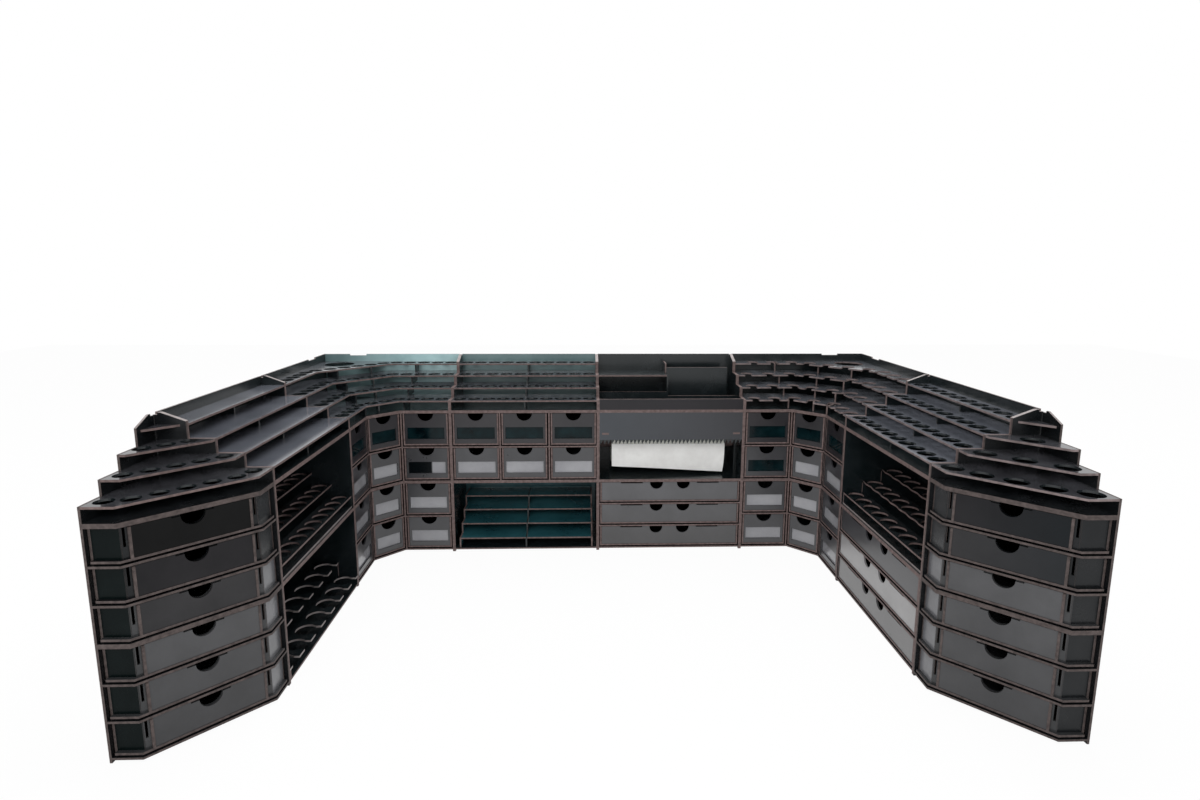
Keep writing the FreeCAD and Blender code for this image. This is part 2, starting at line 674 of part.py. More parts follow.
def corner_tiers(name, rows, tool):
    """The four tiers of a corner rack, pierced along the facets, with the cup hole in the top one."""
    step_now = (size("unit_depth") - size("board") - size("top_tier_depth")) / 3
    tiers = []
    for tier, (count, margin) in enumerate(rows, 1):
        level = f"({tier_top(tier)} - board)"
        rear = None if tier == 4 else f"{setback(tier)} + shelf_depth"
        blank = corner_plate(f"{name}_plate_{tier}", level, setback(tier), rear)
        tools = []
        spots = along_front(f"({setback(tier)} + {tier_step} / 2)", (tier - 0.5) * step_now, count, margin)
        for number, (x, y, turn) in enumerate(spots):
            tools.append(tool(f"{name}_hole_{tier}_{number}", (x, y, level), turn))
        if tier == 4:
            cup = hole(f"{name}_cup", "cup_hole", (f"{outer} - cup_inset", "unit_depth - cup_inset", level))
            cup.setExpression("Polygon", rule("2 * hole_sides"))
            cup.setExpression("Circumradius", rule("cup_hole / 2"))
            tools.append(cup)
        tiers.append(cut(f"{name}_tier_{tier}", blank, tools))
    return group(name, tiers, ("unit_width", front_line, "0"))


def bottle_tool(name, at, turn):
    return hole(name, "bottle_hole", at, turn)


jar_notch = open_notch("jar_notch", "jar_hole", "jar_mouth")


def jar_tool(name, at, turn):
    x, y, z = at
    return group(name, [jar_notch], (x, y, f"{z} - board"), turn)


# Holes in each tier, and the first one from the end of the facet.
bottle_rows = [(10, 15), (12, 15), (14, 15), (16, 15)]
jar_rows = [(7, 20), (8, 24), (9, 21), (10, 42)]
bottle_corner = mirror("bottle_corner", corner_tiers("bottle_corner_tiers", bottle_rows, bottle_tool))
jar_corner = corner_tiers("jar_corner_tiers", jar_rows, jar_tool)

# ---------------------------------------------------------------- end units
# Drawn for the right end with the joint to the wing along X at y 0; the slanted front faces the user.


def end_flat_at(offset):
    return f"(end_flat - {bend_run} * ({offset}))"


def end_outline(offset, moved, clear="board"):
    """Quarter-corner plan, front edges moved back by an offset (also given as a number), clear of both walls."""
    wall = f"(unit_depth - {clear})"
    if size("end_flat") - (math.sqrt(2) - 1) * moved <= size("board"):
        reach = f"(unit_depth + end_flat - sqrt(2) * ({offset}))"
        return [
            (f"unit_depth - {reach} + {clear}", f"-{clear}"),
            (wall, f"-({reach} - {clear})"),
            (wall, f"-{clear}"),
        ]
    flat = end_flat_at(offset)
    return [
        (offset, f"-{clear}"),
        (offset, f"-{flat}"),
        (f"unit_depth - {flat}", f"{offset} - unit_depth"),
        (wall, f"{offset} - unit_depth"),
        (wall, f"-{clear}"),
    ]


end_levels = list(floor_levels)
for base in box_bases:
    for row in range(1, 3):
        end_levels.append(f"{opening_base(base, 3, row)} - board")
end_parts = []
joint_side = group("joint_side", [side], ("0", "0", "0"), -90)
outer_side_boards = side_boards("outer_side", "(unit_depth - board)", "(unit_depth - board - end_corner_gap)")
outer_side = group("outer_side_turned", [outer_side_boards], ("unit_depth - board", "-unit_depth", "0"))
end_parts += [joint_side, outer_side]
for number, level in enumerate(end_levels):
    end_parts.append(place(plate("end_floor_%d" % number, end_outline("0", 0)), "0", "0", level))
end_shell = group("end_shell", end_parts, (wing_line, wing_foot, "0"))
right_end = group("right_end_case", [end_shell])
left_end = mirror("left_end_case", end_shell)


def end_tiers(name, across, count_alias):
    """The four tiers of an end rack, pierced along the middle of each exposed strip."""
    step_now = (size("unit_depth") - size("board") - size("top_tier_depth")) / 3
    tiers = []
    for tier in range(1, 5):
        level = f"({tier_top(tier)} - board)"
        blank = place(plate(f"{name}_plate_{tier}", end_outline(setback(tier), (tier - 1) * step_now)),
                      "0", "0", level)
        middle = f"({setback(tier)} + {tier_step} / 2)"
        count = int(size(count_alias)) - 2 * (tier - 1)
        flat = size("end_flat") - (math.sqrt(2) - 1) * (tier - 0.5) * step_now
        if tier == 4 or count < 1:
            tiers.append(blank)
            continue
        tools = []
        if flat > 0:
            short = f"({end_flat_at(middle)} - board)"
            long = f"(sqrt(2) * (unit_depth - {end_flat_at(middle)} - {middle}))"
            plain_short = flat - size("board")
            plain_long = math.sqrt(2) * (size("unit_depth") - flat - (tier - 0.5) * step_now)
            pace = (2 * plain_short + plain_long) / count
            for number in range(count):
                run = (number + 0.5) * pace
                pitch = f"({number + 0.5} * (2 * {short} + {long}) / {count})"
                if run < plain_short:
                    at = (middle, f"-board - {pitch}")
                    turn = -90
                elif run < plain_short + plain_long:
                    at = (f"{middle} + ({pitch} - {short}) / sqrt(2)",
                          f"-board - {short} - ({pitch} - {short}) / sqrt(2)")
                    turn = -45
                else:
                    at = (f"{middle} + {long} / sqrt(2) + {pitch} - {short} - {long}",
                          f"{middle} - unit_depth")
                    turn = 0
                tools.append(hole(f"{name}_hole_{tier}_{number}", across, (*at, level), turn))
        else:
            reach = f"(unit_depth + end_flat - sqrt(2) * {middle} - 2 * board)"
            for number in range(count):
                share = (number + 0.5) / count
                tools.append(hole(f"{name}_hole_{tier}_{number}", across,
                                  (f"unit_depth - board - {reach} * {1 - share}",
                                   f"-board - {reach} * {share}", level), -45))
        tiers.append(cut(f"{name}_tier_{tier}", blank, tools))
    return group(name, tiers, (wing_line, wing_foot, "0"))


tube_end = end_tiers("tube_end_tiers", "tube_hole", "tube_count")
brush_end = mirror("brush_end", end_tiers("brush_end_tiers", "brush_hole", "brush_count"))

left_shelves = group("left_bottle_shelves", [
    brush_end,
    bottle_corner,
    group("centre_bottles", [straight_bottles], ("-unit_width", front_line, "0")),
])
right_shelves = group("right_bottle_shelves", [
    jar_corner,
    tube_end,
    group("wing_bottles", [straight_bottles], right_wing_place, -90),
])

# ---------------------------------------------------------------- drawers
# Each kind is drawn once with its front along X at y 0, and repeated as a linked compound.
nodes = [left_end, left_wing, left_corner, centre_left, centre_right, right_corner, right_wing, right_end,
         left_shelves, right_shelves, paper_roll, paper_sheet]


def drawer_height(rows):
    return f"({opening_height(rows)} - slide_gap - drawer_headroom)"


bottom_top = "(drawer_lift + board)"


def drawer_box(name, width, height):
    """Two sides that stand on their lower edges; bottom, back and front go between them."""
    inner = f"({width} - 2 * board)"
    return [
        box(name + "_bottom", (inner, drawer_depth, "board"), ("board", "0", "drawer_lift")),
        box(name + "_side", ("board", drawer_depth, height)),
        box(name + "_far_side", ("board", drawer_depth, height), (f"{width} - board", "0", "0")),
        box(name + "_back", (inner, "board", f"{height} - {bottom_top}"),
            ("board", f"{drawer_depth} - board", bottom_top)),
    ]


def small_drawer(name, width):
    """Front with a half-round finger notch and a window with a clear label pane behind it."""
    height = drawer_height(2)
    inner = f"({width} - 2 * board)"
    pieces = drawer_box(name, width, height)
    blank = box(name + "_blank", (inner, "board", f"{height} - {bottom_top}"), ("board", "front_inset", bottom_top))
    notch = scoop(name + "_notch", "notch_radius", (f"{width} / 2", "front_inset - board", f"{height} + notch_raise"))
    window = box(name + "_window", (f"{inner} - 2 * pane_margin", "3 * board", "pane_height"),
                 ("board + pane_margin", "front_inset - board", "pane_rise"))
    pieces.append(cut(name + "_front", blank, [notch, window]))
    pieces.append(box(name + "_pane", (inner, "pane_thickness", "pane_height + pane_margin"),
                      ("board", "front_inset + board", "pane_rise - pane_margin / 2")))
    return group(name, pieces)


def wide_drawer(name, width):
    """Front with two finger notches and a shallow slot beside each."""
    height = drawer_height(3)
    pieces = drawer_box(name, width, height)
    blank = box(name + "_blank", (f"{width} - 2 * board", "board", f"{height} - {bottom_top}"),
                ("board", "front_inset", bottom_top))
    tools = []
    for number, way in enumerate(("-", "+")):
        tools.append(scoop(f"{name}_grip_{number}", "grip_radius",
                           (f"{width} / 2 {way} grip_spacing / 2", "front_inset - board", f"{height} - grip_drop")))
        tools.append(box(f"{name}_reveal_{number}", ("reveal_length", "3 * board", "2 * reveal_depth"),
                         (f"{width} / 2 {way} reveal_place - reveal_length / 2", "front_inset - board",
                          f"{height} - reveal_depth")))
    pieces.append(cut(name + "_front", blank, tools))
    return group(name, pieces)


def node(label, kind, at, angle=0):
    nodes.append(group(label, [kind], at, angle))


straight_width = f"({facet} - 2 * board - 2 * drawer_gap)"
slant_width = "(sqrt(2) * corner_cut - 2 * drawer_gap)"
third_width = "((unit_width - 4 * board) / 3 - 2 * drawer_gap)"
wide_width = f"({span} - 2 * drawer_gap)"
straight_drawer = small_drawer("straight_drawer", straight_width)
slant_drawer = small_drawer("slant_drawer", slant_width)
third_drawer = small_drawer("third_drawer", third_width)
long_drawer = wide_drawer("long_drawer", wide_width)
play = "(drawer_gap / sqrt(2))"
sunk = "(drawer_inset / sqrt(2))"

for row in range(4):
    floor = opening_base(box_bases[row // 2], 2, row % 2)
    level = f"({floor} + slide_gap)"
    spot = f"corner_drawer_row{4 - row}_col"
    node("right_" + spot + "1", straight_drawer,
         ("unit_width + board + drawer_gap", f"{front_line} + drawer_inset", level))
    node("right_" + spot + "2", slant_drawer,
         (f"unit_width + {facet} + {play} + {sunk}", f"{front_line} - {play} + {sunk}", level), -45)
    node("right_" + spot + "3", straight_drawer,
         (f"{wing_line} + drawer_inset", f"{front_line} - corner_cut - board - drawer_gap", level), -90)
    node("left_" + spot + "1", straight_drawer,
         (f"-(unit_width + board + drawer_gap + {straight_width})", f"{front_line} + drawer_inset", level))
    node("left_" + spot + "2", slant_drawer,
         (f"-(unit_width + corner_reach) + {play} - {sunk}", f"{front_line} - corner_cut + {play} + {sunk}", level),
         45)
    node("left_" + spot + "3", straight_drawer,
         (f"-({wing_line} + drawer_inset)", f"{wing_top} + board + drawer_gap", level), 90)

for row in range(2):
    level = f"({opening_base(upper_box, 2, row)} + slide_gap)"
    for column in range(3):
        left_edge = f"{column} * unit_width / 3 + board / 2"
        edge = "board" if column == 0 else left_edge
        node(f"centre_left_drawer_row{2 - row}_col{column + 1}", third_drawer,
             (f"{edge} - unit_width + drawer_gap", f"{front_line} + drawer_inset", level))

for row in range(3):
    level = f"({opening_base(lower_box, 3, row)} + slide_gap)"
    node(f"centre_right_drawer_{3 - row}", long_drawer,
         ("board + drawer_gap", f"{front_line} + drawer_inset", level))
    node(f"right_wing_drawer_{3 - row}", long_drawer,
         (f"{wing_line} + drawer_inset", f"{wing_top} - board - drawer_gap", level), -90)


def end_drawer(name):
    """Tray that fills the quarter-corner plan, with a layered front across the slant."""
    height = drawer_height(3)
    rise = f"({height} - {bottom_top})"
    clear = "(board + drawer_gap)"
    within = f"({clear} + board)"
    plan = end_outline("drawer_inset", size("drawer_inset"), within)
    flat = end_flat_at("drawer_inset")
    inner = f"(unit_depth - {clear})"
    recess = "(drawer_inset + flat_front_inset)"
    pieces = [place(plate(name + "_bottom", plan), z="drawer_lift")]
    pieces.append(box(name + "_side", (f"{inner} - {recess}", "board", height), (recess, f"-{within}", "0")))
    pieces.append(box(name + "_far_side", ("board", f"{inner} - {recess} - board", height),
                      (f"{inner} - board", f"{recess} - unit_depth", "0")))
    slant = "(sqrt(2) * (unit_depth - end_flat))"
    front = "(drawer_inset + front_inset)"
    backing = f"({front} + board)"
    shrink = f"({bend_run} * ({backing} + board))"
    near = "end_front_margin"
    middle = f"({slant} / 2)"
    blank = box(name + "_blank", (f"{slant} - 2 * {near}", "board", rise), (near, front, bottom_top))
    grip = scoop(name + "_grip", "grip_radius", (middle, f"{front} - board", f"{height} - reveal_depth"))
    reveal = box(name + "_reveal", ("reveal_length", "3 * board", "2 * reveal_depth"),
                 (f"{middle} - reveal_length / 2", f"{front} - board", f"{height} - reveal_depth"))
    slanted = [cut(name + "_front", blank, [grip, reveal])]
    for number, across in enumerate((f"{near} - board", f"{slant} - {near}")):
        slanted.append(box(f"{name}_cheek_{number}", ("board", "front_inset + board", rise),
                           (across, "drawer_inset", bottom_top)))
    wall = box(name + "_wall", (f"{slant} - 2 * {shrink}", "board", rise), (shrink, backing, bottom_top))
    slots = []
    for number in range(2):
        across = f"({near} - board - front_slot_width) / 2 + {number} * ({slant} - {near} + board)"
        slots.append(box(f"{name}_slot_{number}", ("front_slot_width", "3 * board", "front_slot_height + board"),
                         (f"{across} + {1 - 2 * number} * {shrink} / 2", f"{backing} - board",
                          f"{height} - front_slot_height")))
    hand = scoop(name + "_hand", "grip_radius", (middle, f"{backing} - board", f"{height} - reveal_depth"))
    slanted.append(cut(name + "_backing", wall, slots + [hand]))
    pieces.append(group(name + "_slanted", slanted, ("0", "-end_flat", "0"), -45))
    short = f"({flat} - {within})"
    pieces.append(box(name + "_flat", ("board", short, rise), (recess, f"-{flat}", bottom_top)))
    pieces.append(box(name + "_far_flat", (short, "board", rise),
                      (f"unit_depth - {flat}", f"{recess} - unit_depth", bottom_top)))
    return group(name, pieces)


corner_tray = end_drawer("corner_tray")
for number, base in enumerate(box_bases):
    for row in range(3):
        level = f"({opening_base(base, 3, row)} + slide_gap)"
        shown = 6 - 3 * number - row
        node(f"right_end_drawer_{shown}", corner_tray, (wing_line, wing_foot, level))
        node(f"left_end_drawer_{shown}", corner_tray,
             (f"-({wing_line} + unit_depth)", f"{wing_foot} - unit_depth", level), 90)

# ---------------------------------------------------------------- checks and export
doc.recompute()
for item in doc.Objects:
    if "Invalid" in item.State or "Error" in item.State:
        raise RuntimeError("%s did not compute: %s" % (item.Name, item.getStatusString()))
os.makedirs("parts", exist_ok=True)
for item in nodes:
    if item.Shape.isNull() or not item.Shape.isValid():
        raise RuntimeError("%s has no valid shape" % item.Label)
for item in nodes:
    item.Shape.exportStep("parts/%s.step" % item.Label)
print("%d nodes, %d solids" % (len(nodes), sum(len(item.Shape.Solids) for item in nodes)))
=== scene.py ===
import json
import math
import bpy
import numpy as np
from mathutils import Matrix, Vector
from mathutils.bvhtree import BVHTree
from mathutils.geometry import delaunay_2d_cdt

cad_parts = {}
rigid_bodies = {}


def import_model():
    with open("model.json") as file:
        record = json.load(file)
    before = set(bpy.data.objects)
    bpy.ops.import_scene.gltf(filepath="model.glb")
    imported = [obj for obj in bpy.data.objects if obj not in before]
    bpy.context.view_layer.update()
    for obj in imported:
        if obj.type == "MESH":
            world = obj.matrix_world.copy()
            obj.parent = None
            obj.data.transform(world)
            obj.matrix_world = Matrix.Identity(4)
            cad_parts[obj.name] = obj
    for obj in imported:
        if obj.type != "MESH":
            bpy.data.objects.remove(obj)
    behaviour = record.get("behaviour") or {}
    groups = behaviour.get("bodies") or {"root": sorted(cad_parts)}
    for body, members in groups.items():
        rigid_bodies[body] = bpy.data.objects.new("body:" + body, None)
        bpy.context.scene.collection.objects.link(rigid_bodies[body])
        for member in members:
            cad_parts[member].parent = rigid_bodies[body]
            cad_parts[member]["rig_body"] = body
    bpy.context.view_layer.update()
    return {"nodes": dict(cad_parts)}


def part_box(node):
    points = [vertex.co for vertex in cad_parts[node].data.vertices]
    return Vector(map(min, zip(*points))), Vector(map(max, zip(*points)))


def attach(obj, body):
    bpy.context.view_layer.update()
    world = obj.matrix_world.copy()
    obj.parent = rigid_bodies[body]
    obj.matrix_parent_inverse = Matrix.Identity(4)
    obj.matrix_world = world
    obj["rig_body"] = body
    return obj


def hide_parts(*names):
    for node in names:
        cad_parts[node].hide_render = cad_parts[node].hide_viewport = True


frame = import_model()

# Hobby workstation of thin lacquered board: dressed boards, round holes, drawers, paper.
# Boards are worked out in millimetres in each unit's own frame, then put in their place in metres.
scene = bpy.context.scene
nodes = frame["nodes"]

# ---- view, floor and light
view = {
    "place": (-0.037013, -1.110363, 0.588383),
    "right": (0.9994981625, -0.0315017477, 0.0033261095),
    "up": (0.0018403985, 0.1625728837, 0.9866948213),
    "forward": (0.0316233465, 0.9861935395, -0.1625492743),
    "lens": 20.1316,
    "shift": (-0.000938, -0.018918),
}
cameraData = bpy.data.cameras.new("view")
cameraData.lens = view["lens"]
cameraData.sensor_width = 36
cameraData.clip_start = 0.01
cameraData.shift_x, cameraData.shift_y = view["shift"]
camera = bpy.data.objects.new("view", cameraData)
cameraTurn = Matrix((view["right"], view["up"], [-c for c in view["forward"]])).transposed()
camera.matrix_world = Matrix.Translation(view["place"]) @ cameraTurn.to_4x4()
scene.collection.objects.link(camera)
scene.camera = camera

studio = {
    "floorSize": 8.0,
    "floorColour": (0.86, 0.86, 0.86, 1),
    "floorRough": 0.9,
    "floorShare": 0.955,              # how far the floor goes to plain white
    "tableReach": (0.50, 0.76, 0.0),  # gloss sees plain white up to the first, the last share past the second
    "skyColour": (0.97, 0.98, 1, 1),
    "skyLight": 0.7,
    "lamps": [   # name, place, aimed at, size across, watts
        ("overhead", (0.1, 0.7, 2.3), (0, 0.1, 0.2), 2.2, 25),
        ("front", (-0.6, -2.6, 1.7), (0, 0.1, 0.2), 1.6, 34),
        ("rear", (0.5, 2.4, 1.9), (0, 0.2, 0.3), 1.8, 20),
    ],
}


def addNode(tree, kind, **settings):
    # one shader node with its settings
    node = tree.nodes.new(kind)
    for key, value in settings.items():
        setattr(node, key, value)
    return node


def whiteToView(tree, shader, output, share, reach=None):
    # what the camera, gloss and glass see: the shader mixed by a share with plain white
    light = addNode(tree, "ShaderNodeLightPath")
    white = addNode(tree, "ShaderNodeEmission")
    gloss = addNode(tree, "ShaderNodeMath", operation="MAXIMUM")
    most = addNode(tree, "ShaderNodeMath", operation="MAXIMUM")
    scaled = addNode(tree, "ShaderNodeMath", operation="MULTIPLY")
    mix = addNode(tree, "ShaderNodeMixShader")
    scaled.inputs[1].default_value = share
    tree.links.new(light.outputs["Is Glossy Ray"], gloss.inputs[0])
    tree.links.new(light.outputs["Is Transmission Ray"], gloss.inputs[1])
    seen = gloss.outputs[0]
    if reach:   # a lit table top of limited size: its white falls off with the distance from its middle
        spot = addNode(tree, "ShaderNodeTexCoord")
        away = addNode(tree, "ShaderNodeVectorMath", operation="LENGTH")
        fall = addNode(tree, "ShaderNodeMapRange", interpolation_type="SMOOTHSTEP")
        fall.inputs["From Min"].default_value, fall.inputs["From Max"].default_value = reach[:2]
        fall.inputs["To Min"].default_value, fall.inputs["To Max"].default_value = 1, reach[2]
        lit = addNode(tree, "ShaderNodeMath", operation="MULTIPLY")
        tree.links.new(spot.outputs["Object"], away.inputs[0])
        tree.links.new(away.outputs["Value"], fall.inputs["Value"])
        tree.links.new(fall.outputs["Result"], lit.inputs[0])
        tree.links.new(seen, lit.inputs[1])
        seen = lit.outputs[0]
    tree.links.new(light.outputs["Is Camera Ray"], most.inputs[0])
    tree.links.new(seen, most.inputs[1])
    tree.links.new(most.outputs[0], scaled.inputs[0])
    tree.links.new(scaled.outputs[0], mix.inputs[0])
    tree.links.new(shader, mix.inputs[1])
    tree.links.new(white.outputs[0], mix.inputs[2])
    tree.links.new(mix.outputs[0], output)


world = bpy.data.worlds.new("studio")
scene.world = world
world.use_nodes = True
sky = world.node_tree.nodes["Background"]
sky.inputs["Color"].default_value = studio["skyColour"]
sky.inputs["Strength"].default_value = studio["skyLight"]
skyOutput = world.node_tree.nodes["World Output"].inputs["Surface"]
whiteToView(world.node_tree, sky.outputs[0], skyOutput, 1.0)

floorMesh = bpy.data.meshes.new("floor")
half = studio["floorSize"] / 2
floorCorners = [(-half, -half, 0), (half, -half, 0), (half, half, 0), (-half, half, 0)]
floorMesh.from_pydata(floorCorners, [], [(0, 1, 2, 3)])
floor = bpy.data.objects.new("floor", floorMesh)
scene.collection.objects.link(floor)
floorFinish = bpy.data.materials.new("floorFinish")
floorFinish.use_nodes = True
floorShader = floorFinish.node_tree.nodes["Principled BSDF"]
floorShader.inputs["Base Color"].default_value = studio["floorColour"]
floorShader.inputs["Roughness"].default_value = studio["floorRough"]
whiteToView(floorFinish.node_tree, floorShader.outputs[0],
            floorFinish.node_tree.nodes["Material Output"].inputs["Surface"],
            studio["floorShare"], studio["tableReach"])
floorMesh.materials.append(floorFinish)

for lampName, place, aim, across, watts in studio["lamps"]:
    lamp = bpy.data.lights.new(lampName, "AREA")
    lamp.shape = "DISK"
    lamp.size = across
    lamp.energy = watts
    holder = bpy.data.objects.new(lampName, lamp)
    back = Vector(place) - Vector(aim)
    holder.matrix_world = Matrix.Translation(place) @ back.to_track_quat("Z", "Y").to_matrix().to_4x4()
    scene.collection.objects.link(holder)
scene.view_settings.view_transform = "Standard"
print("view, floor and light")

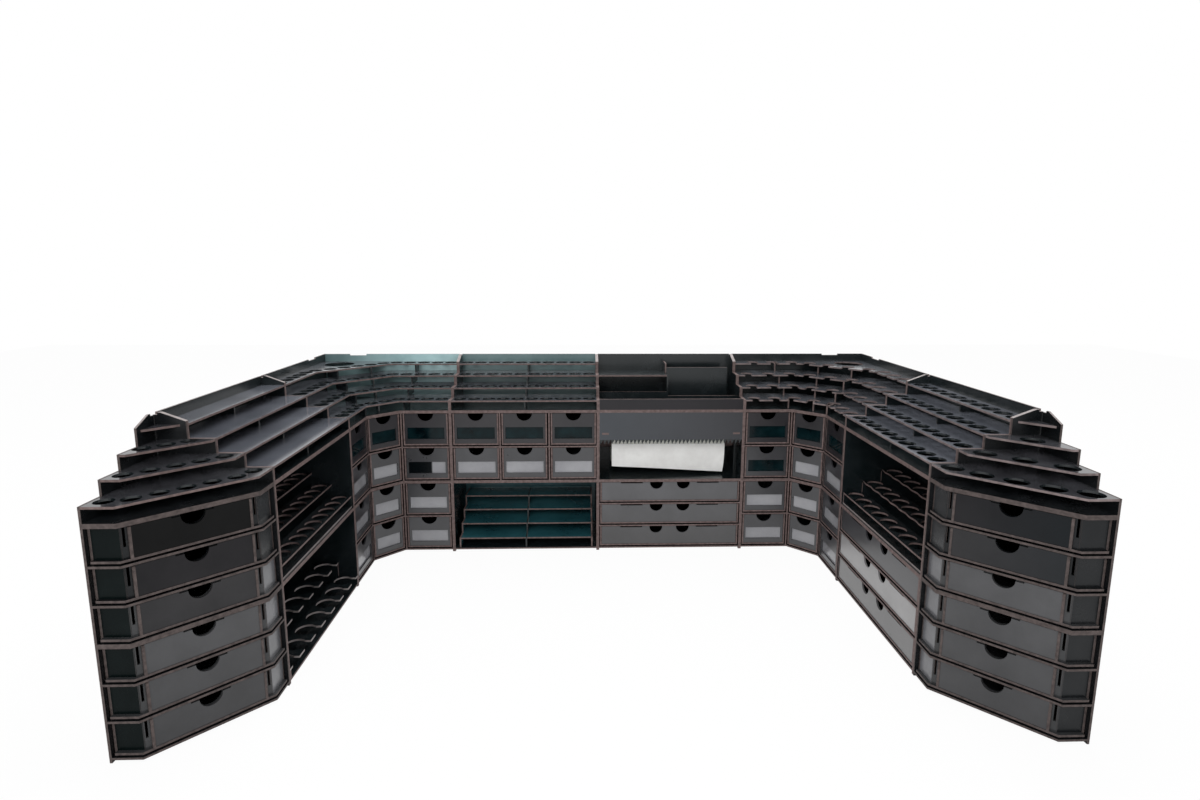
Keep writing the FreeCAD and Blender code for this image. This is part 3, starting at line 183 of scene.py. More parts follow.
# ---- finishes: a dark and a light tone, the scale of the cloud between them, roughness from and to, gloss,
# the fine grain, and for some a tint that fades along an axis, which is painted light and shade by height or
# side
skins = {   # how high the fine grain stands, and its scale
    "lacquer": (0.03, 1400), "sawn": (0.2, 1100), "planed": (0.15, 1100),
    "glass": (0.0, 200), "paper": (0.35, 900),
}
cloudShape = {"detail": 6, "roughness": 0.6, "darkTo": 0.32, "lightFrom": 0.68, "grainHeight": 0.0004}
finishes = {
    "boardFace": {"dark": (0.005, 0.0085, 0.0095), "light": (0.013, 0.017, 0.019), "cloud": 22,
                  "rough": (0.18, 0.30), "gloss": 0.5, "skin": "lacquer"},
    "cutEdge": {"dark": (0.085, 0.058, 0.054), "light": (0.185, 0.134, 0.126), "cloud": 160,
                "rough": (0.55, 0.75), "gloss": 0.3, "skin": "sawn"},
    # the cut edge painted darker as shade, for the end units
    "endEdge": {"dark": (0.040, 0.030, 0.028), "light": (0.098, 0.076, 0.071), "cloud": 160,
                "rough": (0.55, 0.75), "gloss": 0.3, "skin": "sawn"},
    # the cut edge painted paler as highlight, for the right tiers' notch and front edges that catch light
    "rackEdge": {"dark": (0.100, 0.075, 0.072), "light": (0.240, 0.190, 0.186), "cloud": 90,
                 "rough": (0.40, 0.60), "gloss": 0.4, "skin": "planed"},
    # the tiers' black lacquer in lit and shaded copies: rackFace and sheenFace painted lighter as sheen from
    # reflections, sheenFace most, endTier less as shade at the ends
    "rackFace": {"dark": (0.034, 0.037, 0.043), "light": (0.092, 0.098, 0.110), "cloud": 9,
                 "rough": (0.09, 0.18), "gloss": 0.9, "skin": "lacquer"},
    "endTier": {"dark": (0.022, 0.022, 0.025), "light": (0.054, 0.055, 0.061), "cloud": 9,
                "rough": (0.10, 0.18), "gloss": 0.8, "skin": "lacquer"},
    "sheenFace": {"dark": (0.062, 0.067, 0.080), "light": (0.130, 0.138, 0.160), "cloud": 7,
                  "rough": (0.10, 0.18), "gloss": 0.9, "skin": "lacquer"},
    # painted reflection: the black lacquer of the rear walls coloured with the teal light they reflect, the
    # brighter wall fading darker towards its left end
    "tealReflectionWall": {"dark": (0.048, 0.098, 0.102), "light": (0.120, 0.195, 0.198), "cloud": 6,
                 "rough": (0.16, 0.26), "gloss": 0.6, "skin": "lacquer"},
    "brightReflectionWall": {"dark": (0.240, 0.395, 0.410), "light": (0.520, 0.740, 0.750), "cloud": 6,
                 "rough": (0.16, 0.26), "gloss": 0.6, "skin": "lacquer",
                 "fade": ("X", (-0.56, 0.30, 0.32, 0.32), (-0.40, 1.0, 1.0, 1.0))},
    # painted reflection: the black lacquer inside the paper bay coloured with teal light
    "tealReflectionFace": {"dark": (0.010, 0.055, 0.068), "light": (0.030, 0.120, 0.140), "cloud": 8,
                 "rough": (0.18, 0.30), "gloss": 0.5, "skin": "lacquer"},
    # the black lacquer painted darker as shade, for the end units and their drawers
    "endBoard": {"dark": (0.004, 0.005, 0.006), "light": (0.010, 0.011, 0.012), "cloud": 22,
                 "rough": (0.20, 0.32), "gloss": 0.25, "skin": "lacquer"},
    # the cut edge painted pale as highlight, for edges that catch the light
    "highlightEdge": {"dark": (0.20, 0.17, 0.165), "light": (0.34, 0.30, 0.29), "cloud": 120,
                 "rough": (0.45, 0.65), "gloss": 0.4, "skin": "planed"},
    # drawer fronts: one lacquer in lit and shaded copies, painted shade and reflection by row; the top row
    # darkest, the wide fronts lighter higher up
    "topFront": {"dark": (0.013, 0.012, 0.014), "light": (0.023, 0.021, 0.024), "cloud": 14,
                 "rough": (0.26, 0.36), "gloss": 0.5, "skin": "lacquer"},
    "lowFront": {"dark": (0.034, 0.034, 0.036), "light": (0.052, 0.052, 0.055), "cloud": 14,
                 "rough": (0.24, 0.34), "gloss": 0.9, "skin": "lacquer",
                 "fade": ("Z", (0.03, 0.78, 0.76, 0.76), (0.125, 1.32, 1.32, 1.36))},
    # the end drawers' lower fronts, painted lighter higher up
    "endFront": {"dark": (0.046, 0.046, 0.048), "light": (0.066, 0.066, 0.069), "cloud": 14,
                 "rough": (0.26, 0.36), "gloss": 0.4, "skin": "lacquer",
                 "fade": ("Z", (0.04, 0.8, 0.8, 0.8), (0.16, 1.1, 1.1, 1.1))},
    "smallFront": {"dark": (0.026, 0.026, 0.029), "light": (0.042, 0.042, 0.046), "cloud": 14,
                   "rough": (0.24, 0.34), "gloss": 0.7, "skin": "lacquer"},
    # the end drawers' walls and short fronts: endShade in deep painted shade, endWall and endSheen lighter as
    # painted reflection, endSheen most
    "endShade": {"dark": (0.001, 0.003, 0.003), "light": (0.003, 0.006, 0.006), "cloud": 22,
                 "rough": (0.20, 0.32), "gloss": 0.08, "skin": "lacquer"},
    "endWall": {"dark": (0.026, 0.027, 0.028), "light": (0.044, 0.045, 0.047), "cloud": 16,
                "rough": (0.20, 0.32), "gloss": 0.4, "skin": "lacquer"},
    "endSheen": {"dark": (0.080, 0.080, 0.086), "light": (0.165, 0.165, 0.174), "cloud": 12,
                 "rough": (0.20, 0.32), "gloss": 0.5, "skin": "lacquer"},
    # the end drawers' upper fronts in painted shade, darker towards +x
    "endSecond": {"dark": (0.012, 0.012, 0.013), "light": (0.022, 0.022, 0.023), "cloud": 14,
                  "rough": (0.26, 0.36), "gloss": 0.3, "skin": "lacquer",
                  "fade": ("X", (0.46, 1.15, 1.1, 1.12), (0.55, 0.3, 0.4, 0.5))},
    "endTop": {"dark": (0.005, 0.005, 0.006), "light": (0.011, 0.011, 0.012), "cloud": 14,
               "rough": (0.26, 0.36), "gloss": 0.22, "skin": "lacquer",
               "fade": ("X", (0.46, 1.1, 1.0, 1.05), (0.55, 0.1, 0.35, 0.5))},
    # the wing drawers' lower rows painted lighter as reflection, the second row most
    "wingFront": {"dark": (0.080, 0.078, 0.079), "light": (0.118, 0.114, 0.115), "cloud": 8,
                  "rough": (0.24, 0.34), "gloss": 0.9, "skin": "lacquer"},
    "wingReflectionFront": {"dark": (0.215, 0.209, 0.209), "light": (0.300, 0.292, 0.292), "cloud": 8,
                   "rough": (0.24, 0.34), "gloss": 0.9, "skin": "lacquer"},
    # the left end's top front in the darkest painted shade
    "endShadeFront": {"dark": (0.002, 0.002, 0.002), "light": (0.005, 0.005, 0.005), "cloud": 14,
                "rough": (0.26, 0.36), "gloss": 0.12, "skin": "lacquer"},
    # the tear panel's black lacquer painted lighter as sheen, fading darker towards +x
    "sheenPanel": {"dark": (0.021, 0.025, 0.031), "light": (0.030, 0.035, 0.042), "cloud": 10,
                   "rough": (0.26, 0.38), "gloss": 0.6, "skin": "lacquer",
                   "fade": ("X", (0.0, 1.12, 1.15, 1.18), (0.3, 0.82, 0.72, 0.72))},
    "trayFace": {"dark": (0.005, 0.004, 0.006), "light": (0.010, 0.008, 0.011), "cloud": 12,
                 "rough": (0.30, 0.42), "gloss": 0.4, "skin": "lacquer"},
    # clear panes: the first is painted with the shade of the drawer's inside, the last with reflection, and
    # the middle one with shade on its -x side and reflection past x -0.342 m
    "shadePane": {"dark": (0.000, 0.002, 0.003), "light": (0.004, 0.017, 0.020), "cloud": 26,
                 "rough": (0.05, 0.09), "gloss": 0.15, "skin": "glass"},
    "halfReflectionPane": {"dark": (0.24, 0.24, 0.255), "light": (0.36, 0.36, 0.375), "cloud": 9,
                 "rough": (0.12, 0.20), "gloss": 0.15, "skin": "glass",
                 "fade": ("X", (-0.342, 0.005, 0.01, 0.012), (-0.339, 1.0, 1.0, 1.0))},
    "reflectionPane": {"dark": (0.24, 0.24, 0.255), "light": (0.36, 0.36, 0.375), "cloud": 9,
                 "rough": (0.12, 0.20), "gloss": 0.5, "skin": "glass"},
    "paperFace": {"dark": (0.80, 0.79, 0.765), "light": (0.90, 0.895, 0.87), "cloud": 40,
                  "rough": (0.85, 0.95), "gloss": 0.2, "skin": "paper"},
    # the roll: the paper painted darker and greener, as the shade it lies in under the panel
    "rollShadeFace": {"dark": (0.66, 0.67, 0.60), "light": (0.76, 0.765, 0.70), "cloud": 40,
                 "rough": (0.85, 0.95), "gloss": 0.2, "skin": "paper"},
}


def makeFinish(name):
    # colour and roughness drift with a soft cloud, and a fine grain lifts the surface
    look = finishes[name]
    finish = bpy.data.materials.new(name)
    finish.use_nodes = True
    tree = finish.node_tree
    shader = tree.nodes["Principled BSDF"]
    spot = addNode(tree, "ShaderNodeTexCoord")
    cloud = addNode(tree, "ShaderNodeTexNoise")
    cloud.inputs["Scale"].default_value = look["cloud"]
    cloud.inputs["Detail"].default_value = cloudShape["detail"]
    cloud.inputs["Roughness"].default_value = cloudShape["roughness"]
    ramp = addNode(tree, "ShaderNodeValToRGB")
    ramp.color_ramp.elements[0].position = cloudShape["darkTo"]
    ramp.color_ramp.elements[0].color = (*look["dark"], 1)
    ramp.color_ramp.elements[1].position = cloudShape["lightFrom"]
    ramp.color_ramp.elements[1].color = (*look["light"], 1)
    rough = addNode(tree, "ShaderNodeMapRange")
    rough.inputs["To Min"].default_value, rough.inputs["To Max"].default_value = look["rough"]
    tree.links.new(spot.outputs["Object"], cloud.inputs["Vector"])
    tree.links.new(cloud.outputs["Fac"], ramp.inputs["Fac"])
    colour = ramp.outputs["Color"]
    # the fade paints light and shade: each place along the axis is made lighter or darker as light falls
    # there
    if "fade" in look:   # a tint that goes from one colour to another between two places along an axis
        axis, (start, *first), (end, *last) = look["fade"]
        parted = addNode(tree, "ShaderNodeSeparateXYZ")
        along = addNode(tree, "ShaderNodeMapRange")
        along.inputs["From Min"].default_value, along.inputs["From Max"].default_value = start, end
        tint = addNode(tree, "ShaderNodeMix", data_type="RGBA")
        tint.inputs[6].default_value, tint.inputs[7].default_value = (*first, 1), (*last, 1)
        tinted = addNode(tree, "ShaderNodeMix", data_type="RGBA", blend_type="MULTIPLY")
        tinted.inputs[0].default_value = 1
        tree.links.new(spot.outputs["Object"], parted.inputs[0])
        tree.links.new(parted.outputs[axis], along.inputs["Value"])
        tree.links.new(along.outputs["Result"], tint.inputs[0])
        tree.links.new(colour, tinted.inputs[6])
        tree.links.new(tint.outputs[2], tinted.inputs[7])
        colour = tinted.outputs[2]
    tree.links.new(colour, shader.inputs["Base Color"])
    tree.links.new(cloud.outputs["Fac"], rough.inputs["Value"])
    tree.links.new(rough.outputs["Result"], shader.inputs["Roughness"])
    shader.inputs["Specular IOR Level"].default_value = look["gloss"]
    lift, fineness = skins[look["skin"]]
    if lift:
        grain = addNode(tree, "ShaderNodeTexNoise")
        grain.inputs["Scale"].default_value = fineness
        bump = addNode(tree, "ShaderNodeBump")
        bump.inputs["Strength"].default_value = lift
        bump.inputs["Distance"].default_value = cloudShape["grainHeight"]
        tree.links.new(spot.outputs["Object"], grain.inputs["Vector"])
        tree.links.new(grain.outputs["Fac"], bump.inputs["Height"])
        tree.links.new(bump.outputs["Normal"], shader.inputs["Normal"])
    return finish


made = {name: makeFinish(name) for name in finishes}
print("finishes")

# ---- boards: each is (points in mm, triangles, paint), where paint is a place in the piece's list of looks:
# 0 for the lacquered faces and 1 for the cut edges, until a board is recoloured
bendRun = math.sqrt(2) - 1     # run gained or lost at a 45 degree bend for each unit of offset
slack = {"weld": 1e-5, "area": 1e-6, "box": 2e-5, "under": 1e-5}   # mm, mm2, m, m
lyingFlat = np.eye(3)                                        # u along x, v along y, thickness up
foreAndAft = np.array([(0, 1, 0), (0, 0, 1), (1, 0, 0)])     # u along y, v along z, thickness to the right
acrossIt = np.array([(1, 0, 0), (0, 0, 1), (0, -1, 0)])      # u along x, v along z, thickness to the front


def ring(centre, radius, sides=28):
    # a circle: centre plus radius times (cosine, sine) of evenly spaced turns
    turn = np.arange(sides) * 2 * np.pi / sides
    return np.array(centre) + radius * np.c_[np.cos(turn), np.sin(turn)]


def openRing(centre, radius, mouth, reach, turn=0, sides=24):
    # a circle that opens into a straight slot of the mouth's width, reaching towards -v before it is turned
    gap = math.asin(min(1, mouth / 2 / radius))
    arc = np.linspace(-np.pi / 2 + gap, 1.5 * np.pi - gap, sides)
    loop = np.r_[radius * np.c_[np.cos(arc), np.sin(arc)], [(-mouth / 2, -reach), (mouth / 2, -reach)]]
    c, s = math.cos(math.radians(turn)), math.sin(math.radians(turn))
    return np.array(centre) + loop @ np.array([(c, s), (-s, c)])


def slab(low, high):
    # four corners of a rectangle from two opposite ones
    return np.array([(low[0], low[1]), (high[0], low[1]), (high[0], high[1]), (low[0], high[1])], float)


def inLoop(points, loop):
    # odd number of loop sides crossed on the way to the right
    nextOne = np.roll(loop, -1, 0)
    x, y = points[:, :1], points[:, 1:]
    rise = nextOne[:, 1] - loop[:, 1]
    run = nextOne[:, 0] - loop[:, 0]
    crossing = loop[:, 0] + (y - loop[:, 1]) * run / np.where(rise == 0, 1, rise)
    return (((loop[:, 1] > y) != (nextOne[:, 1] > y)) & (x < crossing)).sum(1) % 2 == 1


def cutBoard(outline, cuts, thick, axes, at, cutPaint=1):
    # both faces are the outline less its cuts, and each free side of a face is carried through the thickness
    loops = [np.asarray(outline, float)] + [np.asarray(cut, float) for cut in cuts]
    starts = np.cumsum([0] + [len(loop) for loop in loops])
    sides = np.vstack([np.c_[np.arange(a, b), np.roll(np.arange(a, b), -1)]
                       for a, b in zip(starts, starts[1:])])
    found = delaunay_2d_cdt(np.vstack(loops).tolist(), sides.tolist(), [], 0, slack["weld"])
    flat, tri = np.array([tuple(p) for p in found[0]]), np.array(found[2])
    corner = flat[tri]
    run, rise = corner[:, 1] - corner[:, 0], corner[:, 2] - corner[:, 0]
    area = run[:, 0] * rise[:, 1] - run[:, 1] * rise[:, 0]
    tri = np.where((area < 0)[:, None], tri[:, ::-1], tri)[np.abs(area) > slack["area"]]
    middle = flat[tri].mean(1)
    kept = inLoop(middle, loops[0])
    for loop in loops[1:]:
        kept &= ~inLoop(middle, loop)
    tri = tri[kept]
    start, end = tri.ravel(), np.roll(tri, -1, 1).ravel()
    count = len(flat)
    free = ~np.isin(end * count + start, start * count + end)
    start, end = start[free], end[free]
    points = np.vstack([np.c_[flat, np.zeros(count)], np.c_[flat, np.full(count, thick)]])
    faces = np.vstack([tri[:, ::-1], tri + count,
                       np.c_[start, end, end + count], np.c_[start, end + count, start + count]])
    fromCut = [((ends >= starts[1]) & (ends < starts[-1])) for ends in (start, end)]
    side = np.where(fromCut[0] | fromCut[1], cutPaint, 1)
    paint = np.r_[np.zeros(2 * len(tri), int), side, side]
    return points @ axes + np.array(at, float), faces, paint


# the twelve triangles of a box by the numbers of its corners, and the axis across each
boxFaces = np.array([(0, 4, 6), (0, 6, 2), (1, 3, 7), (1, 7, 5), (0, 1, 5), (0, 5, 4),
                     (2, 6, 7), (2, 7, 3), (0, 2, 3), (0, 3, 1), (4, 5, 7), (4, 7, 6)])[:, ::-1]
boxSide = np.repeat([2, 2, 1, 1, 0, 0], 2)


def boxBoards(rows):
    # rows of x, y, z low and x, y, z high; each corner takes one of the two by the bits of its number
    rows = np.atleast_2d(np.array(rows, float))
    bits = (np.arange(8)[:, None] >> np.array([2, 1, 0])) & 1
    points = np.where(bits[None] == 1, rows[:, None, 3:], rows[:, None, :3]).reshape(-1, 3)
    faces = (boxFaces[None] + 8 * np.arange(len(rows))[:, None, None]).reshape(-1, 3)
    thin = (rows[:, 3:] - rows[:, :3]).argmin(1)
    paint = (boxSide[None] != thin[:, None]).astype(int).ravel()
    return points, faces, paint


def turnPart(part, x, y, angle=0, z=0, mirrored=False):
    # turned about z, moved, then seen in a mirror across x where asked, with its faces turned back outwards
    points, faces, paint = part
    c, s = math.cos(math.radians(angle)), math.sin(math.radians(angle))
    points = points @ np.array([(c, s, 0), (-s, c, 0), (0, 0, 1)]) + (x, y, z)
    if mirrored:
        points, faces = points * (-1, 1, 1), faces[:, ::-1]
    return points, faces, paint


def recolour(part, new, old=0):
    # the faces of one paint number take another
    points, faces, paint = part
    return points, faces, np.where(paint == old, new, paint)


def makePiece(name, parts, looks, body, stands=()):
    # one mesh of all the parts, in metres, with a finish for each paint number
    shift = np.cumsum([0] + [len(part[0]) for part in parts[:-1]])
    points = np.vstack([part[0] for part in parts]) * 0.001
    faces = np.vstack([part[1] + step for part, step in zip(parts, shift)])
    mesh = bpy.data.meshes.new(name)
    mesh.from_pydata(points.tolist(), [], faces.tolist())
    paint = np.concatenate([part[2] for part in parts]).astype(np.int32)
    mesh.polygons.foreach_set("material_index", paint)
    for look in looks:
        mesh.materials.append(made[look])
    mesh.update()
    piece = bpy.data.objects.new(name, mesh)
    scene.collection.objects.link(piece)
    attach(piece, body)
    if stands:
        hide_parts(*stands)
    return piece


# ---- the cases: copies of the frame's boards, painted by how thick the board is under each triangle
# looks are named by their place in the list, so both lists have the same order
caseLooks = ["boardFace", "cutEdge", "highlightEdge", "sheenPanel", "trayFace",
             "sheenFace", "tealReflectionWall", "tealReflectionFace", "brightReflectionWall"]
# the end units take the lacquer and cut edge painted darker as shade
endLooks = ["endBoard", "endEdge"] + caseLooks[2:]
unitPlaces = {   # x, y and turn of a unit's left front corner
    "left_wing_case": (-450, -225, 90), "right_wing_case": (450, 75, -90),
    "centre_left_case": (-300, 225, 0), "centre_right_case": (0, 225, 0),
}
cornerPlace, endPlace = (300, 225), (450, -225)   # of the right one; the left one is its mirror image
thickFrom = 0.0033   # more than a board's 3 mm under a triangle makes it a cut edge


def boxInPlace(caseName, low, high):
    # a box in mm of a unit's own frame, or of the object's where the unit has none, in metres of the object's
    x, y, angle = unitPlaces.get(caseName, (0, 0, 0))
    spots, _, _ = turnPart(boxBoards([*low, *high]), x, y, angle)
    return spots.min(0) * 0.001, spots.max(0) * 0.001


def inBox(corner, low, high):
    # triangles with all three corners in a box
    return ((corner > low - slack["box"]) & (corner < high + slack["box"])).all((1, 2))


def dressCase(name, dropped=(), repaints=()):
    # a triangle with the board's own thickness under it is a lacquered face, any other is a cut edge
    source = nodes[name].data
    points = np.empty(len(source.vertices) * 3)
    source.vertices.foreach_get("co", points)
    points = points.reshape(-1, 3)
    faces = np.empty(len(source.loops), np.int32)
    source.loops.foreach_get("vertex_index", faces)
    faces = faces.reshape(-1, 3)
    for low, high in dropped:
        faces = faces[~inBox(points[faces], low, high)]
    corner = points[faces]
    normal = np.cross(corner[:, 1] - corner[:, 0], corner[:, 2] - corner[:, 0])
    normal /= np.linalg.norm(normal, axis=1)[:, None]
    start = corner.mean(1) - slack["under"] * normal
    tree = BVHTree.FromPolygons(points.tolist(), faces.tolist())
    under = np.array([tree.ray_cast(spot, way)[3] or 1 for spot, way in zip(start, -normal)])
    paint = (under > thickFrom).astype(int)
    for low, high, old, new in repaints:
        paint = np.where(inBox(corner, low, high) & (paint == old), new, paint)
    used, faces = np.unique(faces, return_inverse=True)
    return points[used] * 1000, faces.reshape(-1, 3), paint


# ---- racks in the open bays: stepped plates with round holes, and pot plates with open notches
bay = {
    "inset": 3, "base": 154, "rise": 22, "step": 34, "depth": 38, "left": 3, "span": 294, "board": 3,
    "leftRadius": 13, "leftCount": 10, "rightRadius": 13.5, "rightCount": 9, "wave": 2,
    "potBase": 7, "potFirst": 15, "potRise": 26, "potRadius": 16, "potMouth": 24, "potReach": 26,
    "potCount": 7, "steps": 3, "potSteps": 2, "wavePoints": 12,
}


def bayHoles(count):
    # middles of equal shares of the span
    return bay["left"] + (np.arange(count) + 0.5) * bay["span"] / count


def stepPlace(number):
    # front edge and underside of a plate of the stepped rack
    return bay["inset"] + number * bay["step"], bay["base"] + (number + 1) * bay["rise"] - bay["board"]


def potPlace(number):
    # the same for a plate of the pot rack
    return number * bay["step"], bay["potBase"] + bay["potFirst"] + number * bay["potRise"] - bay["board"]


def bayPlate(number, radius, count, wave):
    # straight back and ends; the front edge is a cosine along x that dips between the holes
    front, level = stepPlace(number)
    x = bay["left"] + np.linspace(0, bay["span"], bay["wavePoints"] * count + 1)
    y = front + wave / 2 * (1 + np.cos(2 * np.pi * count * (x - bay["left"]) / bay["span"]))
    edge = np.c_[x, y] if wave else slab((x[0], front), (x[-1], front))[:2]
    outline = np.vstack([edge, [(x[-1], front + bay["depth"]), (x[0], front + bay["depth"])]])
    cuts = [ring((across, front + bay["step"] / 2), radius) for across in bayHoles(count)]
    return cutBoard(outline, cuts, bay["board"], lyingFlat, (0, 0, level))


def potPlate(number):
    # a plain rectangle with a row of notches that open to the front, all its cut edges painted pale as
    # highlight
    front, level = potPlace(number)
    cuts = [openRing((across, front + bay["depth"] / 2), bay["potRadius"], bay["potMouth"], bay["potReach"])
            for across in bayHoles(bay["potCount"])]
    plan = slab((bay["left"], front), (bay["left"] + bay["span"], front + bay["depth"]))
    plate = cutBoard(plan, cuts, bay["board"], lyingFlat, (0, 0, level))
    return recolour(plate, caseLooks.index("highlightEdge"), caseLooks.index("cutEdge"))


def plateBox(caseName, front, level):
    # where the frame's own plate lies
    return boxInPlace(caseName, (bay["left"], front, level),
                      (bay["left"] + bay["span"], front + bay["depth"], level + bay["board"]))


dropped = {name: [plateBox(name, *stepPlace(n)) for n in range(bay["steps"])]
           for name in ("left_wing_case", "right_wing_case")}
dropped["left_wing_case"] += [plateBox("left_wing_case", *potPlace(n)) for n in range(bay["potSteps"])]
added = {
    "left_wing_case": [bayPlate(n, bay["leftRadius"], bay["leftCount"], 0) for n in range(bay["steps"])]
                      + [potPlate(n) for n in range(bay["potSteps"])],
    "right_wing_case": [bayPlate(n, bay["rightRadius"], bay["rightCount"], bay["wave"] if n else 0)
                        for n in range(bay["steps"])],
}
caseNames = [name for name in nodes if name.endswith("_case")]
topEdges, ribBox = ((-1000, -1000, 384.5), (1000, 1000, 397.2)), ((148.4, 1, 300), (151.6, 147, 379))
tierLevels, ribLevels, ribHigh = (321, 341, 361, 381), (301, 321, 341, 361), 17
repaintRows = [   # case, low and high corner of a box as boxInPlace takes them, look before and after
    # the rib in the middle of each rack and the stepped rack's ends have their brown cut edges painted dark
    # as shade
    *[(name, *ribBox, "cutEdge", "boardFace") for name in unitPlaces],   # the rib in the middle of a rack
    ("left_wing_case", (3, 3, 157), (6, 110, 221), "cutEdge", "boardFace"),   # ends of the stepped rack
    ("left_wing_case", (294, 3, 157), (297, 110, 221), "cutEdge", "boardFace"),
    # the front edges of both wing bases are painted pale as highlight
    ("left_wing_case", (3, 2.9, 154), (297, 3.1, 157), "cutEdge", "highlightEdge"),   # front edge of its base
    ("right_wing_case", (3, 2.9, 154), (297, 3.1, 157), "cutEdge", "highlightEdge"),
    # the left wing's tier tops are painted with sheen
    *[("left_wing_case", (3, 0, level), (297, 147, level), "boardFace", "sheenFace") for level in tierLevels],
    # the rear walls behind the centre-left and left corner tiers are painted with teal reflection
    ("centre_left_case", (3, 147, 301), (297, 147, 397), "boardFace", "tealReflectionWall"),
    ("left_corner_case", (-600, 371.8, 300.8), (-300, 372.2, 397.2), "boardFace", "brightReflectionWall"),
    # the left corner's ribs have their cut edges painted dark as shade
    *[("left_corner_case", (-597, 75, low), (-303, 372, low + ribHigh), "cutEdge", "boardFace")
      for low in ribLevels],
    # the inside of the paper bay is painted with teal reflection, which its divider does not take
    ("centre_left_case", (3, 0.5, 7), (297, 147, 148), "boardFace", "tealReflectionFace"),   # the paper bay
    # the divider's cut edges are painted dark as shade
    ("centre_left_case", (148.4, 1, 7), (151.6, 147, 148), "cutEdge", "boardFace"),   # its divider is dark
    ("centre_left_case", (148.4, 1, 7), (151.6, 147, 148), "tealReflectionFace", "boardFace"),
    # the roll's cradles have their cut edges painted dark as shade
    ("centre_right_case", (3, 4, 154), (10, 146, 240), "cutEdge", "boardFace"),   # cradles of the roll
    ("centre_right_case", (290, 4, 154), (297, 146, 240), "cutEdge", "boardFace"),
    # the tear panel is painted with sheen
    ("centre_right_case", (3, 0, 236), (297, 3, 298), "boardFace", "sheenPanel"),   # tear panel
    ("centre_right_case", (3, 0, 301), (297, 3, 323), "boardFace", "trayFace"),   # front of the tool tray
]
# every case's cut edges near the top are painted pale as highlight, where light falls from above
repaints = {name: [(*boxInPlace("", *topEdges), caseLooks.index("cutEdge"), caseLooks.index("highlightEdge"))]
            for name in caseNames}
for name, low, high, old, new in repaintRows:
    repaints[name].append((*boxInPlace(name, low, high), caseLooks.index(old), caseLooks.index(new)))
for caseName in caseNames:
    parts = [dressCase(caseName, dropped.get(caseName, ()), repaints[caseName])]
    parts += [turnPart(part, *unitPlaces[caseName]) for part in added.get(caseName, ())]
    looks = endLooks if "_end_" in caseName else caseLooks
    makePiece(caseName + "_boards", parts, looks, nodes[caseName]["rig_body"], [caseName])
print("cases")

# ---- racks: the stepped tiers with their round holes and open notches
rack = {
    "floor": 301, "rise": 20, "step": 36, "shelfDepth": 72, "board": 3, "tiers": 4,
    "left": 3, "right": 297, "back": 147,                     # inner faces of a unit's walls
    "bend": 100, "cut": 50,                                   # the facet across a corner unit
    "bottleRadius": 13, "bottleCount": 10,
    "jarRadius": 13, "jarMouth": 15, "jarReach": 26, "cupRadius": 30, "cupSides": 48, "cupPlace": (250, 100),
    "bottleRows": [(10, 15), (12, 15), (14, 15), (16, 15)],   # how many, and how far the end ones stand in
    "jarRows": [(7, 20), (8, 24), (9, 21), (10, 42)],
    "brushRadius": 11, "brushCounts": [7, 5, 3, 0],
    "tubeRadius": 15, "tubeCounts": [5, 3, 1, 0],
    "endFlat": 40, "endDepth": 150,
}


def tierLevel(tier):
    # underside of a tier's board
    return rack["floor"] + (tier + 1) * rack["rise"] - rack["board"]


def cornerEdge(offset):
    # the three facets of a corner unit, moved back by an offset
    bend, cut = rack["bend"], rack["cut"]
    return [(rack["left"], offset), (bend + bendRun * offset, offset),
            (bend + cut + offset, bendRun * offset - cut), (bend + cut + offset, -rack["back"])]


def alongCorner(offset, count, margin):
    # evenly spaced runs along the faceted line at an offset, bent at its two corners, with each facet's turn
    first = rack["bend"] - rack["left"] + bendRun * offset
    slant = math.sqrt(2) * (rack["cut"] + (1 - bendRun) * offset)
    run = np.linspace(margin, 2 * first + slant - margin, count)
    bends = [0, first, first + slant, 2 * first + slant]
    edge = np.array(cornerEdge(offset))
    spots = np.c_[np.interp(run, bends, edge[:, 0]), np.interp(run, bends, edge[:, 1])]
    return spots, -45 * np.searchsorted(bends[1:3], run)


def cornerTiers(rows, holeAt, wallPaint):
    # faceted front edge and rear edge, the top tier back to the walls and with one wide hole
    right, back, parts = rack["right"], rack["back"], []
    for tier in range(rack["tiers"]):
        offset = tier * rack["step"]
        rear = cornerEdge(offset + rack["shelfDepth"])[::-1]
        spots, turns = alongCorner(offset + rack["step"] / 2, *rows[tier])
        cuts = [holeAt(spot, turn) for spot, turn in zip(spots, turns)]
        if tier == rack["tiers"] - 1:
            rear = [(right, -back), (right, back), (rack["left"], back)]
            cuts.append(ring(rack["cupPlace"], rack["cupRadius"], rack["cupSides"]))
        parts.append(cutBoard(cornerEdge(offset) + rear, cuts, rack["board"],
                              lyingFlat, (0, 0, tierLevel(tier)), wallPaint))
    return parts


def endEdge(offset):
    # short front, slanted front, short front of an end unit, moved back by an offset; far back only the slant
    deep, b = rack["endDepth"], rack["board"]
    flat = rack["endFlat"] - bendRun * offset
    if flat <= b:
        reach = deep + rack["endFlat"] - b - math.sqrt(2) * offset
        return [(deep - reach, -b), (deep - b, -reach)]
    return [(offset, -b), (offset, -flat), (deep - flat, offset - deep), (deep - b, offset - deep)]


